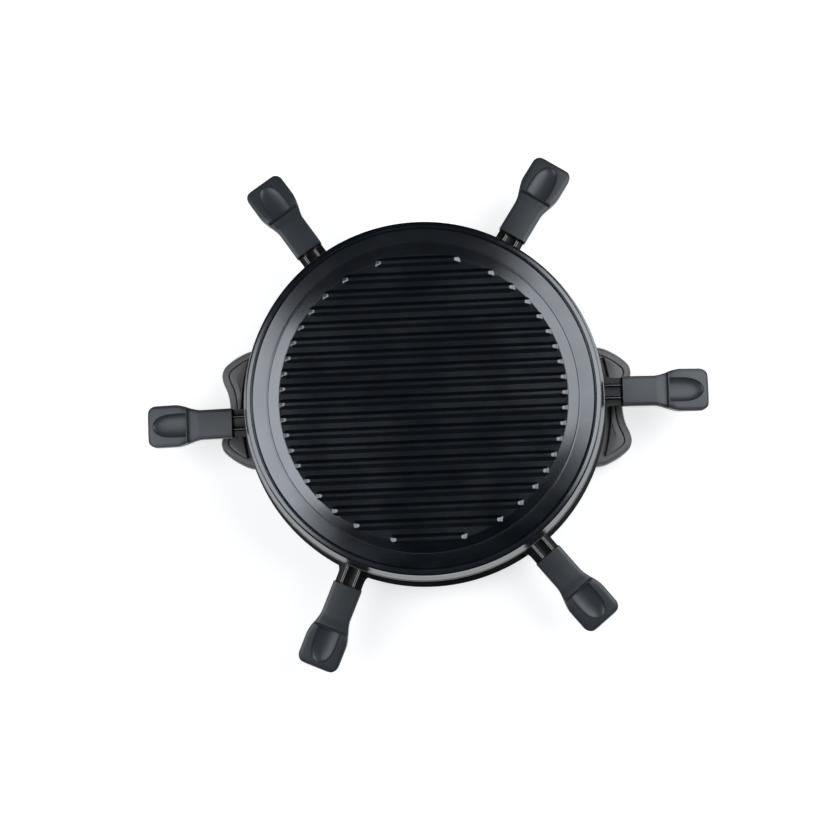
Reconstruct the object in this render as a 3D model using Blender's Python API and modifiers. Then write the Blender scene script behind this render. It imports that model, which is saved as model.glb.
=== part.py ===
"""Round raclette grill for six pans, in metres with +Z up.

The origin lies on the table, on the grill's vertical axis. +X is the middle line of the first
pan bay, so the six bays lie at 0, 60, 120, 180, 240 and 300 degrees.
"""

import math

import bmesh
import bpy
from mathutils import Matrix, Vector

# Fits and fineness
GAP = 0.0003  # between two pieces that touch
SCREW_PLAY = 0.0003  # around a screw's shank and head
CUT_OVERRUN = 0.002  # how far a cutter runs past the face that it opens
MERGE = 0.00001
TURN_STEPS = 52
SMALL_STEPS = 12
SCREW_STEPS = 8
SMOOTH_DEG = 38

# How the parts are turned about the vertical axis
BAY_COUNT = 6
BASE_TURN_DEG = -6.0  # side handles, switch and cord inlet
PLATE_TURN_DEG = -4.0  # ribs of the grill plate

# Grill plate
PLATE_RADIUS = 0.150
PLATE_THICKNESS = 0.0032
PLATE_SEAT_OVERLAP = 0.007  # how far in the flat seat under the lip runs
LIP_WIDTH = 0.0057
LIP_HEIGHT = 0.005
LIP_STEP = 0.0014  # step from the lip down to the upper slope
UPPER_SLOPE_WIDTH = 0.0119
UPPER_SLOPE_DROP = 0.0032
LOWER_SLOPE_WIDTH = 0.0104
LOWER_SLOPE_DROP = 0.0044
RIB_COUNT = 19
RIB_PITCH_SHARE = 0.10738  # of the floor's radius
RIB_BASE_WIDTH = 0.0078
RIB_CREST_WIDTH = 0.0046
RIB_HEIGHT = 0.003
RIB_END_SLOPE = 0.0042
RIB_ROUNDING = 0.0009
RIB_ROOT = 0.001  # how far a rib runs down into the floor
GUIDE_INSET = 0.012  # guide lug from the edge of the floor's underside
GUIDE_RADIUS = 0.003
GUIDE_DROP = 0.0016

# Heater ring: polished skirt that carries the plate and the element
PLATE_OVERHANG = 0.002
SKIRT_SHEET = 0.001
SKIRT_HEIGHT = 0.0202
SKIRT_FLARE = 0.0072
SEAT_LEDGE_WIDTH = 0.004
LEDGE_DEPTH = 0.0087
INNER_FLANGE_WIDTH = 0.010

# Heating element
ELEMENT_DIAMETER = 0.0065
ELEMENT_RADIUS = 0.098  # of its ring
ELEMENT_CLEARANCE = 0.0035  # under the plate
ELEMENT_LEG_SPREAD = 0.008
ELEMENT_LEG_DROP = 0.015
ELEMENT_BEND = 0.006
ELEMENT_SHOULDER_BEND = 0.009
ELEMENT_RING_POINTS = 34
BRACKET_SHEET = 0.0012
BRACKET_WIDTH = 0.010
BRACKET_SLANT = 0.008
BRACKET_TONGUE = 0.0095
BRACKET_LIP = 0.0018

# Posts between the pan bays
POST_WIDTH = 0.016
POST_DEPTH = 0.009
POST_EDGE = 0.0015
POST_SETBACK = 0.0015  # from the skirt's ledge wall
DUCT_WIDTH = 0.040
DUCT_DEPTH = 0.015
DUCT_BORE_WIDTH = 0.024
DUCT_WALL = 0.002
TERMINAL_HEIGHT = 0.012
LEAD_HOLE_WIDTH = 0.020
LEAD_HOLE_DEPTH = 0.008

# Base
FOOT_HEIGHT = 0.006
FOOT_RADIUS = 0.012
FOOT_TAPER = 0.0015
FOOT_CIRCLE_INSET = 0.024
BASE_HEIGHT = 0.044
BASE_WALL = 0.003
FLANGE_MARGIN = 0.0042  # beyond the skirt
FLANGE_THICKNESS = 0.004
FLANGE_OVERHANG = 0.0085
FLANGE_ROUNDING = 0.0012
BASE_TAPER = 0.014
BASE_OPENING_INSET = 0.036
LEDGE_WIDTH = 0.007
LEDGE_THICKNESS = 0.0032
COVER_THICKNESS = 0.0025
COVER_PLAY = 0.0005
VENT_COUNT = 8
VENT_INNER_SHARE = 0.34
VENT_OUTER_SHARE = 0.62
VENT_WIDTH = 0.004
DECK_SHEET = 0.0008
DECK_INSET = 0.006  # from the edge of the flange
BAY_HEIGHT = 0.0334

# Side handles of the base
WING_REACH = 0.0238  # beyond the flange
WING_HALF_WIDTH = 0.0538
WING_DROP = 0.024  # top of the wing under the top of the flange
WING_THICKNESS = 0.014
WING_EDGE = 0.0022
WING_FRAME = 0.0063
WING_FRAME_PLAY = 0.0006
PANEL_THICKNESS = 0.0024
SLOT_INNER_PLAY = 0.0005  # from the edge of the flange
SLOT_WIDTH = 0.0056
SLOT_DEPTH = 0.0055
SLOT_SPAN_SHARE = 0.79426  # of the half width of the side handle
GRIP_WALL = 0.003
GRIP_DEPTH = 0.0068
WING_STEPS = 2  # between two points of the outline
POCKET_STEPS = 1
WING_ARC_STEPS = 7
# Along the reach and across the half width, from the waist to the root
WING_OUTLINE_SHARES = (
    (0.682, 0.0),
    (0.723, 0.169),
    (0.805, 0.300),
    (0.927, 0.419),
    (1.0, 0.536),
    (0.986, 0.620),
    (0.909, 0.700),
    (0.723, 0.784),
    (0.391, 0.887),
    (-0.018, 0.972),
    (-0.427, 1.0),
    (-1.0, 1.0),
)

# Pans
PAN_INNER_X = 0.052
PAN_OUTER_X = 0.1425  # outer side of the dish at home
PAN_INNER_HALF = 0.020
PAN_OUTER_HALF = 0.042
PAN_CORNER = 0.011
PAN_CORNER_STEPS = 3
PAN_DEPTH = 0.011
PAN_SHEET = 0.001
PAN_DRAFT = 0.0025
PAN_FLOOR_ROUND = 0.0022
PAN_RIM = 0.003
PAN_DROOP_DEG = 3.2
TANG_LENGTH = 0.0195
TANG_HALF = 0.012
TANG_TUCK = 0.0025  # under the rim
TANG_STEP = 0.0003
TANG_RIB_OFFSET = 0.0055
TANG_RIB_HALF = 0.0017
TANG_RIB_HEIGHT = 0.0012
TANG_INSERT = 0.0307
TANG_FLARE = 0.012
# Along the open tang from the handle, and how much of the flare is reached there
TANG_FLARE_SHARES = ((0.0, 0.0), (0.55, 0.10), (0.80, 0.42), (1.0, 1.0))
PAN_PULL = 0.0066
PAN_SIDE = 0.0095
# Name, turn in degrees, share of the pull and share of the side shift at rest
PAN_REST_SHARES = (
    ("right", -4.94, 1.0, 0.58),
    ("back_right", 52.99, 0.12, 0.95),
    ("back_left", 119.72, 0.62, 0.27),
    ("left", 176.33, 0.44, 1.0),
    ("front_left", 242.07, 0.97, -0.31),
    ("front_right", 304.98, 0.58, -0.77),
)

# Handles of the pans
GRIP_LENGTH = 0.0753
NECK_HALF = 0.0129
HEAD_HALF = 0.01825
NECK_TOP = 0.0052
NECK_DIP = 0.0042
CREST_TOP = 0.0082
HEAD_END_TOP = 0.0056
HANDLE_BOTTOM = 0.0050
HANDLE_EDGE = 0.0016
END_CORNER = 0.008
END_ROUND = 0.0014
SCOOP_LENGTH = 0.0312
SCOOP_HALF = 0.0102
SCOOP_DEPTH = 0.0034
SCOOP_SETBACK = 0.0010
NECK_STATION_SHARES = ((0.0, 0.0, 1.0), (0.34, 0.0, 1.0), (0.385, 0.06, 0.94), (0.45, 0.28, 0.45))
DIP_SHARE = 0.505
DIP_WIDEN_SHARE = 0.50
CREST_SHARE = 0.526
CREST_WIDEN_SHARE = 0.60
WIDE_SHARE = 0.66
HANDLE_SCREW_SHARE = 0.24

# Screws
SCREW_RADIUS = 0.0015
SCREW_HEAD_RADIUS = 0.003
SCREW_HEAD_HEIGHT = 0.0016
SCREW_BITE = 0.006
HANDLE_SCREW_BITE = 0.0032
COVER_SCREW_COUNT = 4
FOOT_COUNT = 4

# Switch, lamp and cord inlet in the wall of the base
SWITCH_HEIGHT_SHARE = 0.50  # of the base's height
SWITCH_WIDTH = 0.0150
SWITCH_LENGTH = 0.0240
SWITCH_RIM = 0.0016
SWITCH_RIM_WIDTH = 0.0018
SWITCH_DEPTH = 0.013
SWITCH_WINDOW_RIM = 0.0016
ROCKER_PLAY = 0.0004
ROCKER_PROUD = 0.0022
ROCKER_HOLLOW = 0.0012
ROCKER_DEPTH = 0.0045
ROCKER_PIN_RADIUS = 0.0011
ROCKER_PIN_LENGTH = 0.0008
ROCKER_THROW_DEG = 12.0
LAMP_OFFSET = 0.022
LAMP_RADIUS = 0.0040
LAMP_FLANGE = 0.0015
LAMP_DOME = 0.0022
LAMP_DEPTH = 0.006
INLET_RADIUS = 0.0062
INLET_BORE = 0.0043
INLET_FLANGE = 0.0025
INLET_PROUD = 0.003
INLET_HEIGHT_SHARE = 0.45

# Inside the base
JUNCTION_WIDTH = 0.030
JUNCTION_DEPTH = 0.016
JUNCTION_HEIGHT = 0.012
JUNCTION_INSET = 0.030  # from the cover's edge
CUTOUT_RADIUS = 0.008
CUTOUT_HEIGHT = 0.007
CUTOUT_INSET = 0.050
LEAD_RADIUS = 0.0012
LEAD_SPREAD = 0.006
LEAD_STEPS = 3

# Worked out from the above
FLANGE_Z = FOOT_HEIGHT + BASE_HEIGHT
DECK_TOP_Z = FLANGE_Z + GAP + DECK_SHEET
SKIRT_BOTTOM_Z = DECK_TOP_Z + BAY_HEIGHT
SKIRT_TOP_Z = SKIRT_BOTTOM_Z + SKIRT_HEIGHT
INNER_FLANGE_Z = SKIRT_TOP_Z - LEDGE_DEPTH
POST_TOP_Z = INNER_FLANGE_Z - SKIRT_SHEET - GAP
PLATE_SEAT_Z = SKIRT_TOP_Z + GAP
PLATE_TOP_Z = PLATE_SEAT_Z + LIP_HEIGHT
SLOPE_TOP_Z = PLATE_TOP_Z - LIP_STEP
CREASE_Z = SLOPE_TOP_Z - UPPER_SLOPE_DROP
FLOOR_Z = CREASE_Z - LOWER_SLOPE_DROP
PLATE_UNDER_Z = FLOOR_Z - PLATE_THICKNESS
SLOPE_RADIUS = PLATE_RADIUS - LIP_WIDTH
CREASE_RADIUS = SLOPE_RADIUS - UPPER_SLOPE_WIDTH
FLOOR_RADIUS = CREASE_RADIUS - LOWER_SLOPE_WIDTH
RIB_PITCH = FLOOR_RADIUS * RIB_PITCH_SHARE
SKIRT_TOP_RADIUS = PLATE_RADIUS - PLATE_OVERHANG
SKIRT_BOTTOM_RADIUS = SKIRT_TOP_RADIUS + SKIRT_FLARE
LEDGE_WALL_RADIUS = SKIRT_TOP_RADIUS - SEAT_LEDGE_WIDTH
INNER_FLANGE_RADIUS = LEDGE_WALL_RADIUS - INNER_FLANGE_WIDTH
POST_OUTER_RADIUS = LEDGE_WALL_RADIUS - POST_SETBACK
POST_MIDDLE_RADIUS = POST_OUTER_RADIUS - POST_DEPTH / 2
DUCT_MIDDLE_RADIUS = POST_OUTER_RADIUS - DUCT_DEPTH / 2
ELEMENT_Z = PLATE_UNDER_Z - ELEMENT_CLEARANCE - ELEMENT_DIAMETER / 2
ELEMENT_END_Z = ELEMENT_Z - ELEMENT_LEG_DROP
FLANGE_RADIUS = SKIRT_BOTTOM_RADIUS + FLANGE_MARGIN
NECK_RADIUS = FLANGE_RADIUS - FLANGE_OVERHANG
TOE_RADIUS = NECK_RADIUS - BASE_TAPER
DECK_RADIUS = FLANGE_RADIUS - DECK_INSET
BASE_UNDER_Z = FOOT_HEIGHT
LEDGE_UNDER_Z = BASE_UNDER_Z + COVER_THICKNESS + GAP
WALL_SLOPE = math.atan2(BASE_TAPER, BASE_HEIGHT - FLANGE_THICKNESS)
COVER_RADIUS = TOE_RADIUS - BASE_WALL - COVER_PLAY
COVER_TOP_Z = BASE_UNDER_Z + COVER_THICKNESS
WING_TOP_Z = FLANGE_Z - WING_DROP
SLOT_INNER_RADIUS = FLANGE_RADIUS + SLOT_INNER_PLAY
SLOT_OUTER_RADIUS = SLOT_INNER_RADIUS + SLOT_WIDTH
SLOT_HALF_ANGLE = math.asin(WING_HALF_WIDTH * SLOT_SPAN_SHARE / SLOT_INNER_RADIUS)
PAN_FLOOR_Z = DECK_TOP_Z + GAP + PAN_SHEET
PAN_RIM_Z = PAN_FLOOR_Z + PAN_DEPTH
RIM_EDGE_X = PAN_OUTER_X + PAN_RIM
TANG_Z = PAN_RIM_Z - TANG_STEP
BAY_STEP = 2 * math.pi / BAY_COUNT
BACK_ANGLE = math.pi / 2

# Colour, roughness and metallic value of each finish
FINISHES = {
    "base_plastic": ((0.018, 0.019, 0.020), 0.42, 0.0),
    "wing_plastic": ((0.062, 0.066, 0.066), 0.60, 0.0),
    "grip_plastic": ((0.070, 0.075, 0.083), 0.48, 0.0),
    "nonstick_coating": ((0.014, 0.016, 0.022), 0.34, 0.2),
    "pan_coating": ((0.020, 0.019, 0.017), 0.30, 0.2),
    "polished_steel": ((0.62, 0.62, 0.62), 0.14, 1.0),
    "plain_steel": ((0.46, 0.46, 0.45), 0.36, 1.0),
    "element_steel": ((0.20, 0.19, 0.18), 0.45, 1.0),
    "post_enamel": ((0.020, 0.020, 0.021), 0.40, 0.0),
    "foot_rubber": ((0.030, 0.030, 0.030), 0.80, 0.0),
    "ceramic": ((0.78, 0.76, 0.70), 0.50, 0.0),
    "switch_plastic": ((0.012, 0.012, 0.013), 0.30, 0.0),
    "lamp_red": ((0.45, 0.03, 0.02), 0.20, 0.0),
    "lead_sleeve": ((0.30, 0.16, 0.08), 0.60, 0.0),
}


def clear_scene():
    """Remove every object, so that the grill stands alone."""
    for obj in list(bpy.data.objects):
        bpy.data.objects.remove(obj, do_unlink=True)


def new_collection(name):
    """Make a collection and hang it under the scene."""
    group = bpy.data.collections.new(name)
    bpy.context.scene.collection.children.link(group)
    return group


clear_scene()
PARTS = new_collection("raclette_grill")
CUTTERS = new_collection("grill_cutters")


def finish_material(name):
    """Return a finish as a Principled material, made on its first use."""
    material = bpy.data.materials.get(name)
    if material is None:
        color, roughness, metallic = FINISHES[name]
        material = bpy.data.materials.new(name)
        material.use_nodes = True
        shader = material.node_tree.nodes["Principled BSDF"]
        shader.inputs["Base Color"].default_value = (*color, 1)
        shader.inputs["Roughness"].default_value = roughness
        shader.inputs["Metallic"].default_value = metallic
        material.diffuse_color = (*color, 1)
    return material


def add_empty(name, location=(0, 0, 0), turn=0.0, parent=None):
    """Add an empty that carries pieces, turned about +Z."""
    empty = bpy.data.objects.new(name, None)
    empty.location = location
    empty.rotation_euler = (0, 0, turn)
    empty.parent = parent
    PARTS.objects.link(empty)
    return empty


def add_object(name, mesh, group, parent=None, location=(0, 0, 0), rotation=(0, 0, 0)):
    """Add an object with a mesh to a collection."""
    obj = bpy.data.objects.new(name, mesh)
    obj.parent = parent
    obj.location = location
    obj.rotation_euler = rotation
    group.objects.link(obj)
    return obj


def add_part(name, mesh, finish, parent=None, location=(0, 0, 0), rotation=(0, 0, 0)):
    """Add a piece of the grill with its finish and smooth round faces."""
    if not mesh.materials:
        mesh.materials.append(finish_material(finish))
    mesh.shade_smooth()
    mesh.set_sharp_from_angle(angle=math.radians(SMOOTH_DEG))
    return add_object(name, mesh, PARTS, parent, location, rotation)


def add_cutter(name, mesh, parent=None, location=(0, 0, 0), rotation=(0, 0, 0)):
    """Add a shape that only cuts or joins, hidden from the render."""
    obj = add_object(name, mesh, CUTTERS, parent, location, rotation)
    obj.hide_render = True
    obj.display_type = "WIRE"
    return obj


def combine(target, tool, operation="DIFFERENCE"):
    """Cut the tool out of the target, or join it to the target."""
    modifier = target.modifiers.new(tool.name, "BOOLEAN")
    modifier.operation = operation
    modifier.object = tool
    return target


def finished_mesh(obj, name):
    """Return the object's mesh with its modifiers applied."""
    depsgraph = bpy.context.evaluated_depsgraph_get()
    mesh = bpy.data.meshes.new_from_object(obj.evaluated_get(depsgraph))
    mesh.name = name
    return mesh


def baked_mesh(obj, name):
    """Return the finished mesh of a helper object and remove the helper."""
    mesh = finished_mesh(obj, name)
    bpy.data.objects.remove(obj, do_unlink=True)
    return mesh


def mesh_from(bm, name):
    """Turn a bmesh of closed bodies into a mesh whose faces point out."""
    bmesh.ops.recalc_face_normals(bm, faces=bm.faces)
    mesh = bpy.data.meshes.new(name)
    bm.to_mesh(mesh)
    bm.free()
    return mesh


def put_box(bm, low, high):
    """Put a box between two corners."""
    size = [b - a for a, b in zip(low, high)]
    middle = [(a + b) / 2 for a, b in zip(low, high)]
    matrix = Matrix.Translation(middle) @ Matrix.Diagonal((*size, 1))
    bmesh.ops.create_cube(bm, size=1, matrix=matrix)


def put_cylinder(bm, radius, z_low, z_high, place=(0, 0), steps=SMALL_STEPS, top_radius=None):
    """Put an upright cylinder, or a cone when its top radius differs."""
    bmesh.ops.create_cone(
        bm,
        cap_ends=True,
        segments=steps,
        radius1=radius,
        radius2=radius if top_radius is None else top_radius,
        depth=z_high - z_low,
        matrix=Matrix.Translation((place[0], place[1], (z_low + z_high) / 2)),
    )


def box_mesh(name, low, high):
    """Return a box as a mesh."""
    bm = bmesh.new()
    put_box(bm, low, high)
    return mesh_from(bm, name)


def bevelled_mesh(mesh, width, segments, limit_deg=50):
    """Return a copy of a closed mesh with its sharp edges rounded."""
    helper = add_object(mesh.name + "_helper", mesh, CUTTERS)
    bevel = helper.modifiers.new("edges", "BEVEL")
    bevel.width = width
    bevel.segments = segments
    bevel.limit_method = "ANGLE"
    bevel.angle_limit = math.radians(limit_deg)
    return baked_mesh(helper, mesh.name)


def turned_mesh(name, profile, steps=TURN_STEPS, loop=False, sheet=0.0):
    """Turn a profile of (radius, height) points about the vertical axis.

    The profile runs down its outer side. A loop closes on itself. An open profile becomes sheet
    metal when a sheet thickness is given, and otherwise a solid with flat ends.
    """
    count = len(profile)
    edges = [(i, (i + 1) % count) for i in range(count if loop else count - 1)]
    mesh = bpy.data.meshes.new(name)
    mesh.from_pydata([(radius, 0, height) for radius, height in profile], edges, [])
    helper = add_object(name + "_helper", mesh, CUTTERS)
    screw = helper.modifiers.new("turn", "SCREW")
    screw.steps = steps
    screw.render_steps = steps
    screw.use_merge_vertices = True
    screw.merge_threshold = MERGE
    if sheet:
        solidify = helper.modifiers.new("sheet", "SOLIDIFY")
        solidify.thickness = sheet
        solidify.offset = -1
        solidify.use_even_offset = True
    turned = baked_mesh(helper, name)
    bm = bmesh.new()
    bm.from_mesh(turned)
    bmesh.ops.remove_doubles(bm, verts=bm.verts, dist=MERGE)
    open_edges = [edge for edge in bm.edges if edge.is_boundary]
    if open_edges:
        bmesh.ops.holes_fill(bm, edges=open_edges, sides=0)
    return mesh_from(bm, name)


def loft(bm, rings, closed=True, cap_first=False, cap_last=False):
    """Skin a row of point rings, facing up where the rings turn left and grow outward."""
    rows = [[bm.verts.new(point) for point in ring] for ring in rings]
    count = len(rows[0])
    spans = range(count if closed else count - 1)
    for inner, outer in zip(rows, rows[1:]):
        for i in spans:
            j = (i + 1) % count
            bm.faces.new((inner[i], outer[i], outer[j], inner[j]))
    if cap_first:
        bm.faces.new(rows[0])
    if cap_last:
        bm.faces.new(list(reversed(rows[-1])))


def sheet_mesh(name, rings, thickness, closed=True, cap_first=False):
    """Return a pressed sheet that hangs by its thickness under a lofted surface."""
    bm = bmesh.new()
    loft(bm, rings, closed, cap_first)
    mesh = bpy.data.meshes.new(name)
    bm.to_mesh(mesh)
    bm.free()
    helper = add_object(name + "_helper", mesh, CUTTERS)
    solidify = helper.modifiers.new("sheet", "SOLIDIFY")
    solidify.thickness = thickness
    solidify.offset = -1
    solidify.use_even_offset = True
    return baked_mesh(helper, name)


def prism_mesh(name, outline, z_low, z_high):
    """Return a flat outline as an upright prism."""
    curve = bpy.data.curves.new(name, "CURVE")
    curve.dimensions = "2D"
    curve.fill_mode = "BOTH"
    curve.extrude = (z_high - z_low) / 2
    spline = curve.splines.new("POLY")
    spline.points.add(len(outline) - 1)
    for point, place in zip(spline.points, outline):
        point.co = (place[0], place[1], 0, 1)
    spline.use_cyclic_u = True
    helper = add_object(name + "_helper", curve, CUTTERS)
    mesh = baked_mesh(helper, name)
    bpy.data.curves.remove(curve)
    bm = bmesh.new()
    bm.from_mesh(mesh)
    bmesh.ops.remove_doubles(bm, verts=bm.verts, dist=MERGE)
    bmesh.ops.translate(bm, verts=bm.verts, vec=(0, 0, (z_low + z_high) / 2))
    return mesh_from(bm, name)


def tube_mesh(name, path, radius, resolution=1):
    """Return a round tube along a path, with closed ends."""
    curve = bpy.data.curves.new(name, "CURVE")
    curve.dimensions = "3D"
    curve.bevel_depth = radius
    curve.bevel_resolution = resolution
    curve.use_fill_caps = True
    spline = curve.splines.new("POLY")
    spline.points.add(len(path) - 1)
    for point, place in zip(spline.points, path):
        point.co = (*place, 1)
    helper = add_object(name + "_helper", curve, CUTTERS)
    mesh = baked_mesh(helper, name)
    bpy.data.curves.remove(curve)
    bm = bmesh.new()
    bm.from_mesh(mesh)
    bmesh.ops.remove_doubles(bm, verts=bm.verts, dist=MERGE)
    return mesh_from(bm, name)


def smooth_curve(points, steps, closed=False):
    """Run a smooth curve through the points, with a number of steps for each span."""
    points = [Vector(point) for point in points]
    count = len(points)
    result = []
    for i in range(count if closed else count - 1):
        if closed:
            a, b, c, d = (points[(i + k) % count] for k in (-1, 0, 1, 2))
        else:
            b = points[i]
            c = points[i + 1]
            a = points[i - 1] if i > 0 else b - (c - b)
            d = points[i + 2] if i + 2 < count else c + (c - b)
        for k in range(steps):
            t = k / steps
            blend = 2 * b + (c - a) * t + (2 * a - 5 * b + 4 * c - d) * t * t
            result.append((blend + (3 * b - a - 3 * c + d) * t**3) / 2)
    if not closed:
        result.append(points[-1])
    return result


def fillet(before, corner, after, radius, steps):
    """Return the points of an arc that rounds one corner of a path."""
    back = (before - corner).normalized()
    ahead = (after - corner).normalized()
    half = back.angle(ahead) / 2
    reach = radius / math.tan(half)
    centre = corner + (back + ahead).normalized() * (radius / math.sin(half))
    start = corner + back * reach - centre
    end = corner + ahead * reach - centre
    turn = start.angle(end)
    points = []
    for k in range(steps + 1):
        t = k / steps
        mix = start * math.sin((1 - t) * turn) + end * math.sin(t * turn)
        points.append(centre + mix / math.sin(turn))
    return points


def rounded_outline(corners, radius, steps):
    """Return a flat outline whose corners are rounded by arcs."""
    places = [Vector(corner) for corner in corners]
    count = len(places)
    points = []
    for i in range(count):
        points += fillet(places[i - 1], places[i], places[(i + 1) % count], radius, steps)
    return points


def polar(radius, angle, height=0.0):
    """Return the point at a radius and an angle about the vertical axis."""
    return Vector((radius * math.cos(angle), radius * math.sin(angle), height))


def around(radius, sideways, angle, height):
    """Return a point given along and across the direction of an angle."""
    along = Vector((math.cos(angle), math.sin(angle), 0))
    across = Vector((-math.sin(angle), math.cos(angle), 0))
    return along * radius + across * sideways + Vector((0, 0, height))


def screw_mesh(name, shank, head_radius=SCREW_HEAD_RADIUS):
    """Return a screw that points up, with its head below the origin."""
    profile = (
        (SCREW_RADIUS, shank),
        (SCREW_RADIUS, 0),
        (head_radius, 0),
        (head_radius, -SCREW_HEAD_HEIGHT),
    )
    return turned_mesh(name, profile, SCREW_STEPS)


def wall_radius(height):
    """Return the outer radius of the base's wall at a height."""
    top = FLANGE_Z - FLANGE_THICKNESS
    share = (top - height) / (top - BASE_UNDER_Z)
    return NECK_RADIUS - BASE_TAPER * share


def make_grill_plate():
    """Make the ribbed grill plate, a cast dish whose lip rests on the heater ring."""
    rounding = LIP_WIDTH / 6
    under_crease = CREASE_Z - PLATE_THICKNESS
    profile = [
        (FLOOR_RADIUS, FLOOR_Z),
        (CREASE_RADIUS, CREASE_Z),
        (SLOPE_RADIUS, SLOPE_TOP_Z),
        (SLOPE_RADIUS + 2 * rounding, PLATE_TOP_Z),
        (PLATE_RADIUS - 2 * rounding, PLATE_TOP_Z),
        (PLATE_RADIUS - rounding / 2, PLATE_TOP_Z - LIP_HEIGHT / 6),
        (PLATE_RADIUS, PLATE_TOP_Z - LIP_HEIGHT * 3 / 8),
        (PLATE_RADIUS, PLATE_SEAT_Z),
        (PLATE_RADIUS - PLATE_SEAT_OVERLAP, PLATE_SEAT_Z),
        (CREASE_RADIUS, under_crease),
        (FLOOR_RADIUS, PLATE_UNDER_Z),
    ]
    turn = add_empty("plate_turn", turn=math.radians(PLATE_TURN_DEG))
    plate = add_part("grill_plate", turned_mesh("grill_plate", profile), "nonstick_coating", turn)
    combine(plate, add_cutter("plate_ribs", rib_mesh(), turn), "UNION")
    combine(plate, add_cutter("plate_guides", guide_mesh(), turn), "UNION")
    return plate


def rib_mesh():
    """Return all ribs of the grill plate, whose ends lie on the edge of the floor."""
    bm = bmesh.new()
    height = RIB_HEIGHT + RIB_ROOT
    middle = FLOOR_Z - RIB_ROOT + height / 2
    for i in range(RIB_COUNT):
        place = (i - (RIB_COUNT - 1) / 2) * RIB_PITCH
        half = math.sqrt(max(FLOOR_RADIUS**2 - place**2, RIB_BASE_WIDTH**2))
        matrix = Matrix.Translation((0, place, middle)) @ Matrix.Diagonal(
            (2 * half, RIB_BASE_WIDTH, height, 1)
        )
        rib = bmesh.ops.create_cube(bm, size=1, matrix=matrix)["verts"]
        for vert in rib:
            if vert.co.z > middle:
                vert.co.x -= math.copysign(RIB_END_SLOPE, vert.co.x)
                side = math.copysign(RIB_CREST_WIDTH / 2, vert.co.y - place)
                vert.co.y = place + side
    crest = [edge for edge in bm.edges if all(vert.co.z > middle for vert in edge.verts)]
    bmesh.ops.bevel(bm, geom=crest, offset=RIB_ROUNDING, segments=1, affect="EDGES")
    return mesh_from(bm, "plate_ribs")


def guide_mesh():
    """Return the lugs under the plate that keep it in the middle of the heater ring."""
    bm = bmesh.new()
    for i in range(BAY_COUNT):
        place = polar(FLOOR_RADIUS - GUIDE_INSET, (i + 0.5) * BAY_STEP)
        low = PLATE_UNDER_Z - GUIDE_DROP
        high = PLATE_UNDER_Z + PLATE_THICKNESS / 2
        put_cylinder(bm, GUIDE_RADIUS, low, high, place, SCREW_STEPS)
    return mesh_from(bm, "plate_guides")


def make_heater_skirt():
    """Make the polished skirt with its seat for the plate and its inner flange."""
    profile = (
        (INNER_FLANGE_RADIUS, INNER_FLANGE_Z),
        (LEDGE_WALL_RADIUS, INNER_FLANGE_Z),
        (LEDGE_WALL_RADIUS, SKIRT_TOP_Z),
        (SKIRT_TOP_RADIUS, SKIRT_TOP_Z),
        (SKIRT_BOTTOM_RADIUS, SKIRT_BOTTOM_Z),
    )
    mesh = turned_mesh("heater_skirt", profile, sheet=SKIRT_SHEET)
    skirt = add_part("heater_skirt", mesh, "polished_steel")
    bm = bmesh.new()
    for place in post_screw_places():
        low = INNER_FLANGE_Z - SKIRT_SHEET - CUT_OVERRUN
        high = INNER_FLANGE_Z + CUT_OVERRUN
        put_cylinder(bm, SCREW_RADIUS + SCREW_PLAY, low, high, place, SCREW_STEPS)
    combine(skirt, add_cutter("skirt_screw_holes", mesh_from(bm, "skirt_screw_holes")))
    return skirt


def post_angles():
    """Return the directions of the two plain posts."""
    return [BACK_ANGLE + 2 * BAY_STEP, BACK_ANGLE + 4 * BAY_STEP]


def post_screw_places():
    """Return where a screw holds the skirt on each post and on the duct."""
    side = (DUCT_WIDTH + DUCT_BORE_WIDTH) / 4
    places = [around(POST_MIDDLE_RADIUS, side, BACK_ANGLE, 0)]
    places += [polar(POST_MIDDLE_RADIUS, angle) for angle in post_angles()]
    return places


def make_posts():
    """Make the two plain posts, the hollow rear post and the screws in their tops."""
    low = DECK_TOP_Z + GAP
    hole_low = POST_TOP_Z - SCREW_BITE - CUT_OVERRUN
    for name, angle in zip(("post_left", "post_right"), post_angles()):
        box = box_mesh(
            name,
            (-POST_DEPTH / 2, -POST_WIDTH / 2, low),
            (POST_DEPTH / 2, POST_WIDTH / 2, POST_TOP_Z),
        )
        holder = add_empty(name + "_place", polar(POST_MIDDLE_RADIUS, angle), angle)
        post = add_part(name, bevelled_mesh(box, POST_EDGE, 2), "post_enamel", holder)
        bm = bmesh.new()
        put_cylinder(bm, SCREW_RADIUS + SCREW_PLAY, hole_low, POST_TOP_Z + CUT_OVERRUN,
                     steps=SCREW_STEPS)
        combine(post, add_cutter(name + "_hole", mesh_from(bm, name + "_hole"), holder))
    make_duct(low, hole_low)
    for i, place in enumerate(post_screw_places()):
        mesh = screw_mesh("post_screw", SCREW_BITE + SKIRT_SHEET)
        place.z = INNER_FLANGE_Z + GAP
        add_part(f"post_screw_{i + 1}", mesh, "plain_steel", None, place, (math.pi, 0, 0))


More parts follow.
